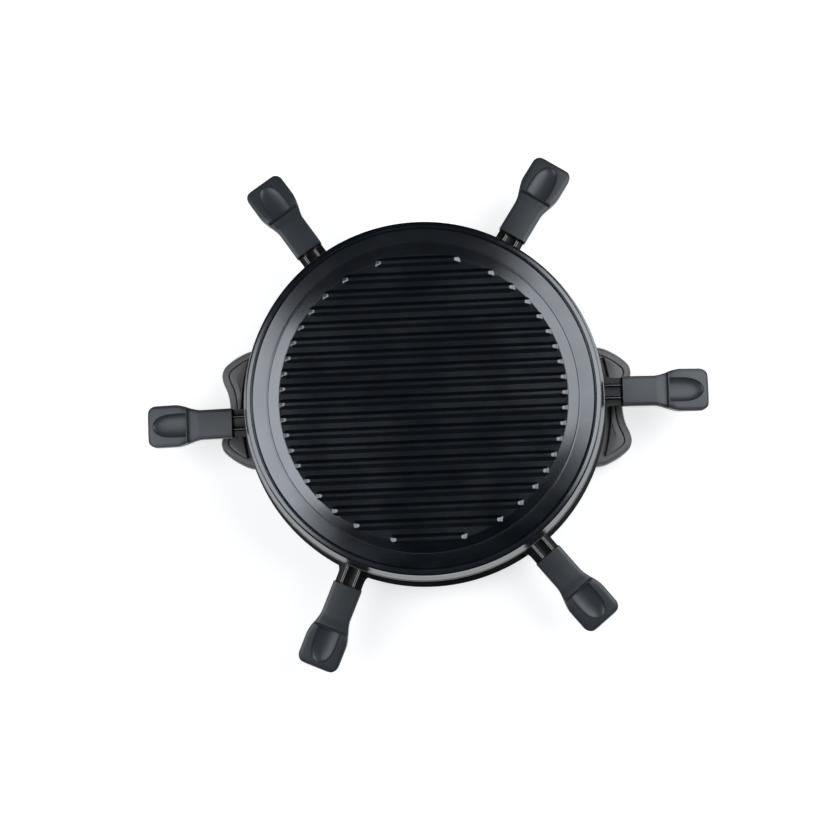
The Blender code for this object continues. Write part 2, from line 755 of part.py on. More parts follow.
def make_duct(low, hole_low):
    """Make the rear post, whose bore carries the element's legs and the leads."""
    holder = add_empty("duct_place", polar(DUCT_MIDDLE_RADIUS, BACK_ANGLE), BACK_ANGLE)
    box = box_mesh(
        "wire_duct_post",
        (-DUCT_DEPTH / 2, -DUCT_WIDTH / 2, low),
        (DUCT_DEPTH / 2, DUCT_WIDTH / 2, POST_TOP_Z),
    )
    mesh = bevelled_mesh(box, POST_EDGE, 2)
    duct = add_part("wire_duct_post", mesh, "post_enamel", holder)
    bore = DUCT_DEPTH / 2 - DUCT_WALL
    half = DUCT_BORE_WIDTH / 2
    bm = bmesh.new()
    put_box(bm, (-bore, -half, low - CUT_OVERRUN), (bore, half, POST_TOP_Z + CUT_OVERRUN))
    combine(duct, add_cutter("duct_bore", mesh_from(bm, "duct_bore"), holder))
    notch = box_mesh(
        "duct_notch",
        (-DUCT_DEPTH / 2 - CUT_OVERRUN, -half, ELEMENT_Z - ELEMENT_DIAMETER),
        (-bore + CUT_OVERRUN, half, POST_TOP_Z + CUT_OVERRUN),
    )
    combine(duct, add_cutter("duct_notch", notch, holder))
    bm = bmesh.new()
    offset = POST_MIDDLE_RADIUS - DUCT_MIDDLE_RADIUS
    side = (DUCT_WIDTH + DUCT_BORE_WIDTH) / 4
    put_cylinder(bm, SCREW_RADIUS + SCREW_PLAY, hole_low, POST_TOP_Z + CUT_OVERRUN,
                 (offset, side), SCREW_STEPS)
    combine(duct, add_cutter("duct_screw_hole", mesh_from(bm, "duct_screw_hole"), holder))
    terminal = box_mesh(
        "ceramic_terminal",
        (-bore + GAP, -half + GAP, ELEMENT_END_Z - GAP - TERMINAL_HEIGHT),
        (bore - GAP, half - GAP, ELEMENT_END_Z - GAP),
    )
    mesh = bevelled_mesh(terminal, POST_EDGE / 2, 1)
    add_part("ceramic_terminal", mesh, "ceramic", holder)


def make_element():
    """Make the heating element, one ring whose two legs go down in the rear post."""
    leg = DUCT_MIDDLE_RADIUS
    path = []
    for side in (1, -1):
        spread = side * ELEMENT_LEG_SPREAD
        foot = around(leg, spread, BACK_ANGLE, ELEMENT_END_Z)
        knee = around(leg, spread, BACK_ANGLE, ELEMENT_Z)
        shoulder_x = math.sqrt(ELEMENT_RADIUS**2 - ELEMENT_LEG_SPREAD**2)
        shoulder = around(shoulder_x, spread, BACK_ANGLE, ELEMENT_Z)
        start = math.asin(ELEMENT_LEG_SPREAD / ELEMENT_RADIUS)
        toward = polar(ELEMENT_RADIUS, BACK_ANGLE + 3 * side * start, ELEMENT_Z)
        points = [foot]
        points += fillet(foot, knee, shoulder, ELEMENT_BEND, 4)
        points += fillet(knee, shoulder, toward, ELEMENT_SHOULDER_BEND, 4)
        path.append(points)
    first = path[0][-1]
    start = math.atan2(first.y, first.x)
    margin = 2 * math.pi / ELEMENT_RING_POINTS
    begin = start + margin
    sweep = 2 * math.pi - 2 * (begin - BACK_ANGLE)
    ring = []
    for k in range(ELEMENT_RING_POINTS):
        angle = begin + sweep * k / (ELEMENT_RING_POINTS - 1)
        ring.append(polar(ELEMENT_RADIUS, angle, ELEMENT_Z))
    route = path[0] + ring + list(reversed(path[1]))
    mesh = tube_mesh("heating_element", route, ELEMENT_DIAMETER / 2)
    add_part("heating_element", mesh, "element_steel")


def make_brackets():
    """Make the three straps that hang from the skirt and carry the element."""
    top = POST_TOP_Z
    low = ELEMENT_Z - ELEMENT_DIAMETER / 2 - GAP
    drop_radius = ELEMENT_RADIUS + BRACKET_TONGUE
    path = (
        (LEDGE_WALL_RADIUS - POST_SETBACK, top),
        (drop_radius + BRACKET_SLANT, top),
        (drop_radius, low),
        (ELEMENT_RADIUS - BRACKET_TONGUE + BRACKET_LIP, low),
        (ELEMENT_RADIUS - BRACKET_TONGUE, low + BRACKET_LIP),
    )
    half = BRACKET_WIDTH / 2
    for i in range(3):
        rings = [((r, -half, z), (r, half, z)) for r, z in reversed(path)]
        mesh = sheet_mesh("element_bracket", rings, BRACKET_SHEET, closed=False)
        angle = BACK_ANGLE + (2 * i + 1) * BAY_STEP
        add_part(f"element_bracket_{i + 1}", mesh, "plain_steel", None, (0, 0, 0), (0, 0, angle))


def make_base():
    """Make the base housing, its bottom cover, feet and cover screws."""
    turn = add_empty("base_turn", turn=math.radians(BASE_TURN_DEG))
    opening = FLANGE_RADIUS - BASE_OPENING_INSET
    flange_under = FLANGE_Z - FLANGE_THICKNESS
    ledge_top = LEDGE_UNDER_Z + LEDGE_THICKNESS
    ledge_radius = wall_radius(LEDGE_UNDER_Z) - BASE_WALL - LEDGE_WIDTH
    profile = (
        (opening, FLANGE_Z),
        (FLANGE_RADIUS - FLANGE_ROUNDING, FLANGE_Z),
        (FLANGE_RADIUS, FLANGE_Z - FLANGE_ROUNDING),
        (FLANGE_RADIUS, flange_under),
        (NECK_RADIUS, flange_under),
        (TOE_RADIUS, BASE_UNDER_Z),
        (TOE_RADIUS - BASE_WALL, BASE_UNDER_Z),
        (wall_radius(LEDGE_UNDER_Z) - BASE_WALL, LEDGE_UNDER_Z),
        (ledge_radius, LEDGE_UNDER_Z),
        (ledge_radius, ledge_top),
        (wall_radius(ledge_top) - BASE_WALL, ledge_top),
        (NECK_RADIUS - BASE_WALL, flange_under),
        (opening, flange_under),
    )
    mesh = turned_mesh("base_housing", profile, loop=True)
    base = add_part("base_housing", mesh, "base_plastic", turn)
    screw_radius = ledge_radius + LEDGE_WIDTH / 2
    bm = bmesh.new()
    for angle in quarter_angles(COVER_SCREW_COUNT):
        place = polar(screw_radius, angle)
        low = BASE_UNDER_Z - CUT_OVERRUN
        high = ledge_top + CUT_OVERRUN
        put_cylinder(bm, SCREW_RADIUS + SCREW_PLAY, low, high, place, SCREW_STEPS)
    holes = add_cutter("cover_screw_holes", mesh_from(bm, "cover_screw_holes"), turn)
    combine(base, holes)
    combine(base, add_cutter("lead_hole", lead_hole_mesh()))
    make_cover(turn, holes, screw_radius, ledge_top)
    return base, turn


def quarter_angles(count):
    """Return evenly spaced directions that start half a step from the side handles."""
    return [(i + 0.5) * 2 * math.pi / count for i in range(count)]


def lead_hole_mesh():
    """Return the hole for the leads under the rear post."""
    half = LEAD_HOLE_WIDTH / 2
    low_y = DUCT_MIDDLE_RADIUS - LEAD_HOLE_DEPTH / 2
    high_y = DUCT_MIDDLE_RADIUS + LEAD_HOLE_DEPTH / 2
    low_z = FLANGE_Z - FLANGE_THICKNESS - CUT_OVERRUN
    return box_mesh("lead_hole", (-half, low_y, low_z), (half, high_y, DECK_TOP_Z + CUT_OVERRUN))


def make_cover(turn, holes, screw_radius, ledge_top):
    """Make the bottom cover with its vents, the feet and the cover screws."""
    bm = bmesh.new()
    put_cylinder(bm, COVER_RADIUS, BASE_UNDER_Z, COVER_TOP_Z, steps=TURN_STEPS)
    cover = add_part("bottom_cover", mesh_from(bm, "bottom_cover"), "base_plastic", turn)
    combine(cover, holes)
    bm = bmesh.new()
    inner = COVER_RADIUS * VENT_INNER_SHARE
    outer = COVER_RADIUS * VENT_OUTER_SHARE
    for i in range(VENT_COUNT):
        made = len(bm.verts)
        low = (inner, -VENT_WIDTH / 2, BASE_UNDER_Z - CUT_OVERRUN)
        high = (outer, VENT_WIDTH / 2, COVER_TOP_Z + CUT_OVERRUN)
        put_box(bm, low, high)
        bm.verts.ensure_lookup_table()
        spin = Matrix.Rotation((i + 0.5) * 2 * math.pi / VENT_COUNT, 3, "Z")
        bmesh.ops.rotate(bm, verts=bm.verts[made:], matrix=spin)
    combine(cover, add_cutter("cover_vents", mesh_from(bm, "cover_vents"), turn))
    shank = ledge_top - BASE_UNDER_Z + GAP
    for i, angle in enumerate(quarter_angles(COVER_SCREW_COUNT)):
        place = polar(screw_radius, angle, BASE_UNDER_Z - GAP)
        mesh = screw_mesh("cover_screw", shank)
        add_part(f"cover_screw_{i + 1}", mesh, "plain_steel", turn, place)
    top = FOOT_HEIGHT - GAP
    profile = (
        (FOOT_RADIUS, top),
        (FOOT_RADIUS, top / 2),
        (FOOT_RADIUS - FOOT_TAPER, 0),
    )
    for i, angle in enumerate(quarter_angles(FOOT_COUNT)):
        mesh = turned_mesh("foot", profile, SMALL_STEPS)
        place = polar(COVER_RADIUS - FOOT_CIRCLE_INSET, angle)
        add_part(f"foot_{i + 1}", mesh, "foot_rubber", turn, place)


def make_deck():
    """Make the steel deck that the pans stand on."""
    bm = bmesh.new()
    put_cylinder(bm, DECK_RADIUS, DECK_TOP_Z - DECK_SHEET, DECK_TOP_Z, steps=TURN_STEPS)
    deck = add_part("pan_deck", mesh_from(bm, "pan_deck"), "plain_steel")
    combine(deck, bpy.data.objects["lead_hole"])


def wing_curve(inset, steps):
    """Return the outer line of a side handle, drawn in by an inset, from root to root."""
    half = [
        (FLANGE_RADIUS + reach * WING_REACH, width * WING_HALF_WIDTH)
        for reach, width in WING_OUTLINE_SHARES
    ]
    points = [(x, -y, 0) for x, y in reversed(half)] + [(x, y, 0) for x, y in half[1:]]
    line = smooth_curve(points, steps)
    result = []
    for i, point in enumerate(line):
        along = line[min(i + 1, len(line) - 1)] - line[max(i - 1, 0)]
        inward = Vector((-along.y, along.x, 0)).normalized()
        result.append(point + inward * inset)
    return result


def wing_outline(inset, inner_radius, steps=POCKET_STEPS):
    """Return a closed outline between the side handle's line and an arc about the axis."""
    line = [point for point in wing_curve(inset, steps) if point.length > inner_radius]
    first = math.atan2(line[0].y, line[0].x)
    last = math.atan2(line[-1].y, line[-1].x)
    arc = []
    for k in range(WING_ARC_STEPS + 1):
        angle = last + (first - last) * k / WING_ARC_STEPS
        arc.append(polar(inner_radius, angle))
    return line + arc


def slot_outline():
    """Return the slot between the edge of the base's flange and the panel."""
    half = SLOT_HALF_ANGLE
    angles = [half * (2 * k / WING_ARC_STEPS - 1) for k in range(WING_ARC_STEPS + 1)]
    outer = [polar(SLOT_OUTER_RADIUS + CUT_OVERRUN / 4, angle) for angle in angles]
    inner = [polar(SLOT_INNER_RADIUS, angle) for angle in reversed(angles)]
    return outer + inner


def make_side_handles(turn):
    """Make the two side handles, each with a panel let into its top."""
    low = WING_TOP_Z - WING_THICKNESS
    pocket_low = WING_TOP_Z - PANEL_THICKNESS - GAP
    inside = NECK_RADIUS - WING_REACH
    body = prism_mesh("side_handle", wing_outline(0, inside, WING_STEPS), low, WING_TOP_Z)
    body = bevelled_mesh(body, WING_EDGE, 1)
    pocket = prism_mesh(
        "panel_pocket",
        wing_outline(WING_FRAME, SLOT_INNER_RADIUS + SLOT_WIDTH / 2),
        pocket_low,
        WING_TOP_Z + CUT_OVERRUN,
    )
    slot = prism_mesh(
        "wing_slot",
        slot_outline(),
        WING_TOP_Z - SLOT_DEPTH,
        WING_TOP_Z + CUT_OVERRUN / 2,
    )
    grip = prism_mesh(
        "wing_grip",
        wing_outline(GRIP_WALL, FLANGE_RADIUS - GRIP_WALL),
        low - CUT_OVERRUN,
        low + GRIP_DEPTH,
    )
    wall = turned_mesh("wing_wall", (
        (wall_radius(FLANGE_Z) + GAP, FLANGE_Z),
        (wall_radius(BASE_UNDER_Z) + GAP, BASE_UNDER_Z),
    ))
    panel = prism_mesh(
        "side_handle_panel",
        wing_outline(WING_FRAME + WING_FRAME_PLAY, SLOT_OUTER_RADIUS),
        pocket_low + GAP,
        WING_TOP_Z,
    )
    wall_cutter = add_cutter("wing_wall", wall, turn)
    for name, angle in (("right", 0), ("left", math.pi)):
        side = add_empty("side_" + name, turn=angle, parent=turn)
        handle = add_part("side_handle_" + name, body.copy(), "wing_plastic", side)
        for tool in (pocket, slot, grip):
            combine(handle, add_cutter(f"{tool.name}_{name}", tool, side))
        combine(handle, wall_cutter)
        add_part("side_handle_panel_" + name, panel.copy(), "wing_plastic", side)


def pan_corners(grow):
    """Return the corners of the pan's outline, moved outward on every side."""
    slope = math.atan2(PAN_OUTER_HALF - PAN_INNER_HALF, PAN_OUTER_X - PAN_INNER_X)
    side = grow / math.cos(slope)
    inner_half = PAN_INNER_HALF - grow * math.tan(slope) + side
    outer_half = PAN_OUTER_HALF + grow * math.tan(slope) + side
    inner_x = PAN_INNER_X - grow
    outer_x = PAN_OUTER_X + grow
    return (
        (inner_x, -inner_half),
        (outer_x, -outer_half),
        (outer_x, outer_half),
        (inner_x, inner_half),
    )


def pan_ring(grow, height):
    """Return one ring of the pan at a height."""
    outline = rounded_outline(pan_corners(grow), PAN_CORNER + grow, PAN_CORNER_STEPS)
    return [(point.x, point.y, height) for point in outline]


def tang_ring(distance, half, rib_height):
    """Return the cross-section of the tang at a distance outward from the rim."""
    droop = math.radians(PAN_DROOP_DEG)
    x = RIM_EDGE_X + distance * (math.cos(droop) if distance > 0 else 1)
    z = TANG_Z - max(distance, 0) * math.sin(droop)
    inner = TANG_RIB_OFFSET - TANG_RIB_HALF
    outer = TANG_RIB_OFFSET + TANG_RIB_HALF
    across = ((outer, 0), (TANG_RIB_OFFSET, rib_height), (inner, 0))
    left = [(-y, z + rise) for y, rise in across]
    right = [(y, z + rise) for y, rise in reversed(across)]
    line = [(-half, z)] + left + right + [(half, z)]
    return [(x, y, height) for y, height in line]


def pan_mesh():
    """Return one pan, a fan-shaped dish with a rim and a ribbed tang."""
    rings = (
        pan_ring(-PAN_DRAFT - PAN_FLOOR_ROUND, PAN_FLOOR_Z),
        pan_ring(-PAN_DRAFT, PAN_FLOOR_Z + PAN_FLOOR_ROUND),
        pan_ring(0, PAN_RIM_Z),
        pan_ring(PAN_RIM, PAN_RIM_Z),
    )
    dish = sheet_mesh("pan_dish", rings, PAN_SHEET, cap_first=True)
    sections = [tang_ring(-TANG_TUCK, TANG_HALF + TANG_FLARE, 0)]
    for along, flare in reversed(TANG_FLARE_SHARES):
        rib = 0 if flare == 1 else TANG_RIB_HEIGHT
        distance = TANG_LENGTH * (1 - along)
        sections.append(tang_ring(distance, TANG_HALF + TANG_FLARE * flare, rib))
    sections.append(tang_ring(TANG_LENGTH + TANG_INSERT, TANG_HALF, TANG_RIB_HEIGHT))
    tang = sheet_mesh("pan_tang", sections, PAN_SHEET, closed=False)
    helper = add_object("pan_helper", dish, CUTTERS)
    tang_tool = add_object("tang_helper", tang, CUTTERS)
    combine(helper, tang_tool, "UNION")
    bm = bmesh.new()
    put_cylinder(bm, SCREW_RADIUS + SCREW_PLAY, -CUT_OVERRUN, CUT_OVERRUN, steps=SCREW_STEPS)
    place, rotation = handle_place()
    place = place + Matrix.Rotation(rotation[1], 3, "Y") @ Vector((screw_distance(), 0, 0))
    hole = add_object("tang_hole", mesh_from(bm, "tang_hole"), CUTTERS, None, place, rotation)
    combine(helper, hole)
    mesh = baked_mesh(helper, "pan")
    bpy.data.objects.remove(tang_tool, do_unlink=True)
    bpy.data.objects.remove(hole, do_unlink=True)
    return mesh


def handle_place():
    """Return the place and turn of a handle in its pan's frame."""
    return Vector((RIM_EDGE_X, 0, TANG_Z - PAN_SHEET / 2)), (0, math.radians(PAN_DROOP_DEG), 0)


def screw_distance():
    """Return how far from the pan's rim the handle's screw lies."""
    return TANG_LENGTH + GRIP_LENGTH * HANDLE_SCREW_SHARE


def handle_ring(along, half, top, bottom, edge):
    """Return the rounded cross-section of the pan's handle at a distance along it."""
    quarter = (
        (half - edge, top),
        (half, top - edge),
        (half, edge - bottom),
        (half - edge, -bottom),
    )
    section = [(y, z) for y, z in reversed(quarter)] + [(-y, z) for y, z in quarter]
    return [(TANG_LENGTH + along, y, z) for y, z in section]


def handle_mesh():
    """Return the pan's handle with its crest, thumb scoop, slot and screw hole."""
    rings = []
    widen = HEAD_HALF - NECK_HALF
    fall = NECK_TOP - NECK_DIP
    for along, wide, high in NECK_STATION_SHARES:
        top = NECK_DIP + fall * high
        rings.append((GRIP_LENGTH * along, NECK_HALF + widen * wide, top))
    rings.append((GRIP_LENGTH * DIP_SHARE, NECK_HALF + widen * DIP_WIDEN_SHARE, NECK_DIP))
    rings.append((GRIP_LENGTH * CREST_SHARE, NECK_HALF + widen * CREST_WIDEN_SHARE, CREST_TOP))
    head_start = GRIP_LENGTH * CREST_SHARE
    for share in (WIDE_SHARE, 1 - END_CORNER / GRIP_LENGTH):
        along = GRIP_LENGTH * share
        drop = (along - head_start) / (GRIP_LENGTH - head_start)
        rings.append((along, HEAD_HALF, CREST_TOP - (CREST_TOP - HEAD_END_TOP) * drop))
    sections = [handle_ring(a, h, t, HANDLE_BOTTOM, HANDLE_EDGE) for a, h, t in rings]
    for angle_deg in (35, 62, 82):
        angle = math.radians(angle_deg)
        along = GRIP_LENGTH - END_CORNER * (1 - math.sin(angle))
        half = HEAD_HALF - END_CORNER * (1 - math.cos(angle))
        sections.append(handle_ring(along, half, HEAD_END_TOP, HANDLE_BOTTOM, HANDLE_EDGE))
    half = HEAD_HALF - END_CORNER
    last = handle_ring(GRIP_LENGTH, half, HEAD_END_TOP - END_ROUND, HANDLE_BOTTOM - END_ROUND,
                       HANDLE_EDGE)
    sections.append(last)
    bm = bmesh.new()
    loft(bm, sections, cap_first=True, cap_last=True)
    helper = add_object("handle_helper", mesh_from(bm, "pan_handle"), CUTTERS)
    tools = [scoop_mesh(), tang_slot_mesh(), handle_hole_mesh()]
    for tool in tools:
        combine(helper, add_object(tool.name, tool, CUTTERS))
    mesh = baked_mesh(helper, "pan_handle")
    for tool in tools:
        bpy.data.objects.remove(bpy.data.objects[tool.name], do_unlink=True)
    return mesh


def scoop_mesh():
    """Return half an ellipsoid that presses the thumb scoop into the handle's head."""
    bm = bmesh.new()
    start = TANG_LENGTH + GRIP_LENGTH * CREST_SHARE + SCOOP_SETBACK
    slope = math.atan2(CREST_TOP - HEAD_END_TOP, GRIP_LENGTH * (1 - CREST_SHARE))
    matrix = (
        Matrix.Translation((start, 0, CREST_TOP))
        @ Matrix.Rotation(slope, 4, "Y")
        @ Matrix.Diagonal((SCOOP_LENGTH, SCOOP_HALF, SCOOP_DEPTH, 1))
        @ Matrix.Rotation(math.pi / 2, 4, "Y")
    )
    bmesh.ops.create_uvsphere(bm, u_segments=14, v_segments=8, radius=1, matrix=matrix)
    geometry = bm.verts[:] + bm.edges[:] + bm.faces[:]
    result = bmesh.ops.bisect_plane(
        bm, geom=geometry, dist=MERGE, plane_co=(start, 0, 0), plane_no=(1, 0, 0),
        clear_inner=True,
    )
    rim = [item for item in result["geom_cut"] if isinstance(item, bmesh.types.BMEdge)]
    bmesh.ops.holes_fill(bm, edges=rim, sides=0)
    return mesh_from(bm, "thumb_scoop")


def tang_slot_mesh():
    """Return the slot in the handle that takes the tang and its ribs."""
    half = TANG_HALF + GAP
    low = -PAN_SHEET / 2 - GAP
    high = PAN_SHEET / 2 + TANG_RIB_HEIGHT + GAP
    return box_mesh(
        "tang_slot",
        (TANG_LENGTH - CUT_OVERRUN, -half, low),
        (TANG_LENGTH + TANG_INSERT + GAP, half, high),
    )


def handle_hole_mesh():
    """Return the stepped hole for the handle's screw."""
    shank = SCREW_RADIUS + SCREW_PLAY
    head = SCREW_HEAD_RADIUS + SCREW_PLAY
    step = SCREW_HEAD_HEIGHT + SCREW_PLAY + GAP - HANDLE_BOTTOM
    profile = (
        (shank, HANDLE_SCREW_BITE + GAP),
        (shank, step),
        (head, step),
        (head, -HANDLE_BOTTOM - CUT_OVERRUN),
    )
    mesh = turned_mesh("handle_hole", profile, SCREW_STEPS)
    mesh.transform(Matrix.Translation((screw_distance(), 0, 0)))
    return mesh


def make_pans():
    """Make the six pans with their handles and screws, each turned and drawn out as it stands."""
    pan = pan_mesh()
    grip = handle_mesh()
    place, rotation = handle_place()
    screw_z = SCREW_HEAD_HEIGHT + SCREW_PLAY - HANDLE_BOTTOM
    shank = HANDLE_SCREW_BITE - screw_z
    along = Matrix.Rotation(rotation[1], 3, "Y") @ Vector((screw_distance(), 0, screw_z))
    screw = screw_mesh("pan_handle_screw", shank)
    for name, turn_deg, pull_share, side_share in PAN_REST_SHARES:
        turn = math.radians(turn_deg)
        rest = around(PAN_PULL * pull_share, PAN_SIDE * side_share, turn, 0)
        slide = add_empty(f"pan_{name}_slide", rest, turn)
        add_part("pan_" + name, pan, "pan_coating", slide)
        add_part("pan_handle_" + name, grip, "grip_plastic", slide, place, rotation)
        add_part("pan_handle_screw_" + name, screw, "plain_steel", slide, place + along, rotation)


def make_switch(turn):
    """Make the rocker switch and its lamp in the front of the base's wall."""
    height = BASE_UNDER_Z + BASE_HEIGHT * SWITCH_HEIGHT_SHARE
    radius = wall_radius(height)
    tilt = math.pi / 2 + WALL_SLOPE
    face = add_empty("switch_face", (0, -radius, height), parent=turn)
    face.rotation_euler = (tilt, 0, 0)
    half_x = SWITCH_WIDTH / 2
    half_y = SWITCH_LENGTH / 2
    bm = bmesh.new()
    rim = SWITCH_RIM_WIDTH
    seat = 2 * GAP
    put_box(bm, (-half_x - rim, -half_y - rim, seat), (half_x + rim, half_y + rim, seat + SWITCH_RIM))
    flange = mesh_from(bm, "switch_flange")
    body_box = box_mesh("switch_body", (-half_x, -half_y, -SWITCH_DEPTH),
                        (half_x, half_y, seat + SWITCH_RIM / 2))
    body = add_part("switch_body", body_box, "switch_plastic", face)
    combine(body, add_cutter("switch_flange", flange, face), "UNION")
    window_x = half_x - SWITCH_WINDOW_RIM
    window_y = half_y - SWITCH_WINDOW_RIM
    top = seat + SWITCH_RIM
    window = box_mesh("switch_window", (-window_x, -window_y, -ROCKER_DEPTH - 4 * ROCKER_PLAY),
                      (window_x, window_y, top + CUT_OVERRUN))
    combine(body, add_cutter("switch_window", window, face))
    pin_span = window_x + ROCKER_PIN_LENGTH
    combine(body, add_cutter(
        "rocker_bearing", pin_mesh("rocker_bearing", ROCKER_PIN_RADIUS + GAP, pin_span), face))
    make_rocker(face, window_x, window_y, top)
    opening = box_mesh("switch_opening", (-half_x - GAP, -half_y - GAP, -2 * BASE_WALL),
                       (half_x + GAP, half_y + GAP, seat + CUT_OVERRUN))
    combine(bpy.data.objects["base_housing"], add_cutter("switch_opening", opening, face))
    make_lamp(turn, height, radius)
    return face


def pin_mesh(name, radius, half_length):
    """Return a round pin along X through the origin."""
    bm = bmesh.new()
    put_cylinder(bm, radius, -half_length, half_length, steps=SCREW_STEPS)
    bmesh.ops.rotate(bm, verts=bm.verts, matrix=Matrix.Rotation(math.pi / 2, 3, "Y"))
    return mesh_from(bm, name)


def make_rocker(face, window_x, window_y, top):
    """Make the rocker, which tips about its pin across the switch."""
    throw = math.radians(ROCKER_THROW_DEG)
    half_x = window_x - ROCKER_PLAY
    half_y = window_y - 2 * ROCKER_PLAY
    proud = top + ROCKER_PROUD
    profile = (
        (-half_y, proud),
        (-half_y, -ROCKER_DEPTH / 4),
        (-half_y / 2, -ROCKER_DEPTH),
        (half_y / 2, -ROCKER_DEPTH),
        (half_y, -ROCKER_DEPTH / 4),
        (half_y, proud),
        (0, proud - ROCKER_HOLLOW),
    )
    bm = bmesh.new()
    rings = [[(x, y, z) for y, z in profile] for x in (-half_x, half_x)]
    loft(bm, rings, cap_first=True, cap_last=True)
    pivot = add_empty("rocker_pivot", parent=face)
    pivot.rotation_euler = (-throw / 2, 0, 0)
    rocker = add_part("switch_rocker", mesh_from(bm, "switch_rocker"), "switch_plastic", pivot)
    span = window_x + ROCKER_PIN_LENGTH - GAP
    pin = pin_mesh("rocker_pin", ROCKER_PIN_RADIUS, span)
    combine(rocker, add_cutter("rocker_pin", pin, pivot), "UNION")


def make_lamp(turn, height, radius):
    """Make the round pilot lamp beside the switch and its hole in the wall."""
    angle = -math.pi / 2 + LAMP_OFFSET / radius
    face = add_empty("lamp_face", polar(radius, angle, height), parent=turn)
    face.rotation_euler = (math.pi / 2 + WALL_SLOPE, 0, angle + math.pi / 2)
    seat = 2 * GAP
    rim = LAMP_RADIUS + LAMP_FLANGE
    profile = (
        (LAMP_RADIUS / 2, seat + LAMP_DOME),
        (LAMP_RADIUS, seat + LAMP_DOME * 3 / 4),
        (rim, seat + LAMP_DOME / 4),
        (rim, seat),
        (LAMP_RADIUS, seat),
        (LAMP_RADIUS, -LAMP_DEPTH),
    )
    add_part("pilot_lens", turned_mesh("pilot_lens", profile, SMALL_STEPS), "lamp_red", face)
    bm = bmesh.new()
    put_cylinder(bm, LAMP_RADIUS + GAP, -2 * BASE_WALL, seat + CUT_OVERRUN)
    cutter = add_cutter("lamp_hole", mesh_from(bm, "lamp_hole"), face)
    combine(bpy.data.objects["base_housing"], cutter)


def make_inlet(turn):
    """Make the grommet that the cord comes out of, in the back of the base's wall."""
    height = BASE_UNDER_Z + BASE_HEIGHT * INLET_HEIGHT_SHARE
    face = add_empty("inlet_face", (0, wall_radius(height), height), parent=turn)
    face.rotation_euler = (math.pi / 2 + WALL_SLOPE, 0, math.pi)
    seat = 2 * GAP
    back = -BASE_WALL - seat
    rim = INLET_RADIUS + INLET_FLANGE
    profile = (
        (INLET_BORE, seat + INLET_PROUD),
        (rim, seat + INLET_PROUD / 2),
        (rim, seat),
        (INLET_RADIUS, seat),
        (INLET_RADIUS, back),
        (INLET_RADIUS + INLET_FLANGE / 2, back),
        (INLET_RADIUS + INLET_FLANGE / 2, back - INLET_PROUD / 2),
        (INLET_BORE, back - INLET_PROUD / 2),
    )
    mesh = turned_mesh("cord_grommet", profile, SMALL_STEPS, loop=True)
    add_part("cord_grommet", mesh, "foot_rubber", face)
    bm = bmesh.new()
    put_cylinder(bm, INLET_RADIUS + GAP, -3 * BASE_WALL, seat + CUT_OVERRUN)
    cutter = add_cutter("inlet_hole", mesh_from(bm, "inlet_hole"), face)
    combine(bpy.data.objects["base_housing"], cutter)


def make_wiring(switch_face):
    """Make the junction block, the thermal cutout and the four leads between them."""
    junction_y = COVER_RADIUS - JUNCTION_INSET
    half = JUNCTION_WIDTH / 2
    depth = JUNCTION_DEPTH / 2
    low = COVER_TOP_Z + GAP
    high = low + JUNCTION_HEIGHT
    box = box_mesh("junction_block", (-half, junction_y - depth, low),
                   (half, junction_y + depth, high))
    add_part("junction_block", bevelled_mesh(box, POST_EDGE / 2, 1), "ceramic")
    cutout_y = FLANGE_RADIUS - CUTOUT_INSET
    deck_under = DECK_TOP_Z - DECK_SHEET - GAP
    cutout_low = deck_under - CUTOUT_HEIGHT
    rim = CUTOUT_HEIGHT / 4
    profile = (
        (CUTOUT_RADIUS, deck_under),
        (CUTOUT_RADIUS, cutout_low + rim),
        (CUTOUT_RADIUS - rim, cutout_low),
    )
    cutout = turned_mesh("thermal_cutout", profile, SMALL_STEPS)
    add_part("thermal_cutout", cutout, "plain_steel", None, (0, cutout_y, 0))
    bpy.context.view_layer.update()
    back = switch_face.matrix_world @ Vector((0, 0, -SWITCH_DEPTH - GAP))
    inward = switch_face.matrix_world.to_3x3() @ Vector((0, 0, -1))
    terminal_z = ELEMENT_END_Z - 2 * GAP - TERMINAL_HEIGHT
    duct_y = DUCT_MIDDLE_RADIUS
    side = LEAD_SPREAD
    hole_z = FLANGE_Z - FLANGE_THICKNESS
    run_z = (high + cutout_low) / 2
    stub = 3 * LEAD_RADIUS
    cutout_end = cutout_low - GAP
    switch_ends = [back + Vector((shift * side / 2, 0, 0)) for shift in (1, -1)]
    # The first and the last span of each route run straight, square to what they meet
    routes = {
        "lead_neutral": (
            (side, duct_y, terminal_z),
            (side, duct_y, hole_z),
            (side, (duct_y + junction_y) / 2, run_z),
            (side, junction_y, high + GAP + stub),
            (side, junction_y, high + GAP),
        ),
        "lead_heater": (
            (-side, duct_y, terminal_z),
            (-side, duct_y, hole_z),
            (-side, duct_y - side, run_z),
            (-side / 2, (duct_y + cutout_y) / 2, cutout_low - 3 * side),
            (-side / 2, cutout_y, cutout_end - stub),
            (-side / 2, cutout_y, cutout_end),
        ),
        "lead_switched": (
            (side / 2, cutout_y, cutout_end),
            (side / 2, cutout_y, cutout_end - stub),
            (side, cutout_y - 2 * side, run_z),
            (side, 0, run_z),
            switch_ends[0] + inward * stub,
            switch_ends[0],
        ),
        "lead_live": (
            (-2 * side, junction_y, high + GAP),
            (-2 * side, junction_y, high + GAP + stub),
            (-2 * side, junction_y - 2 * side, run_z),
            (-2 * side, 0, run_z),
            switch_ends[1] + inward * stub,
            switch_ends[1],
        ),
    }
    for name, points in routes.items():
        path = [points[0], *smooth_curve(points[1:-1], LEAD_STEPS), points[-1]]
        add_part(name, tube_mesh(name, path, LEAD_RADIUS), "lead_sleeve")


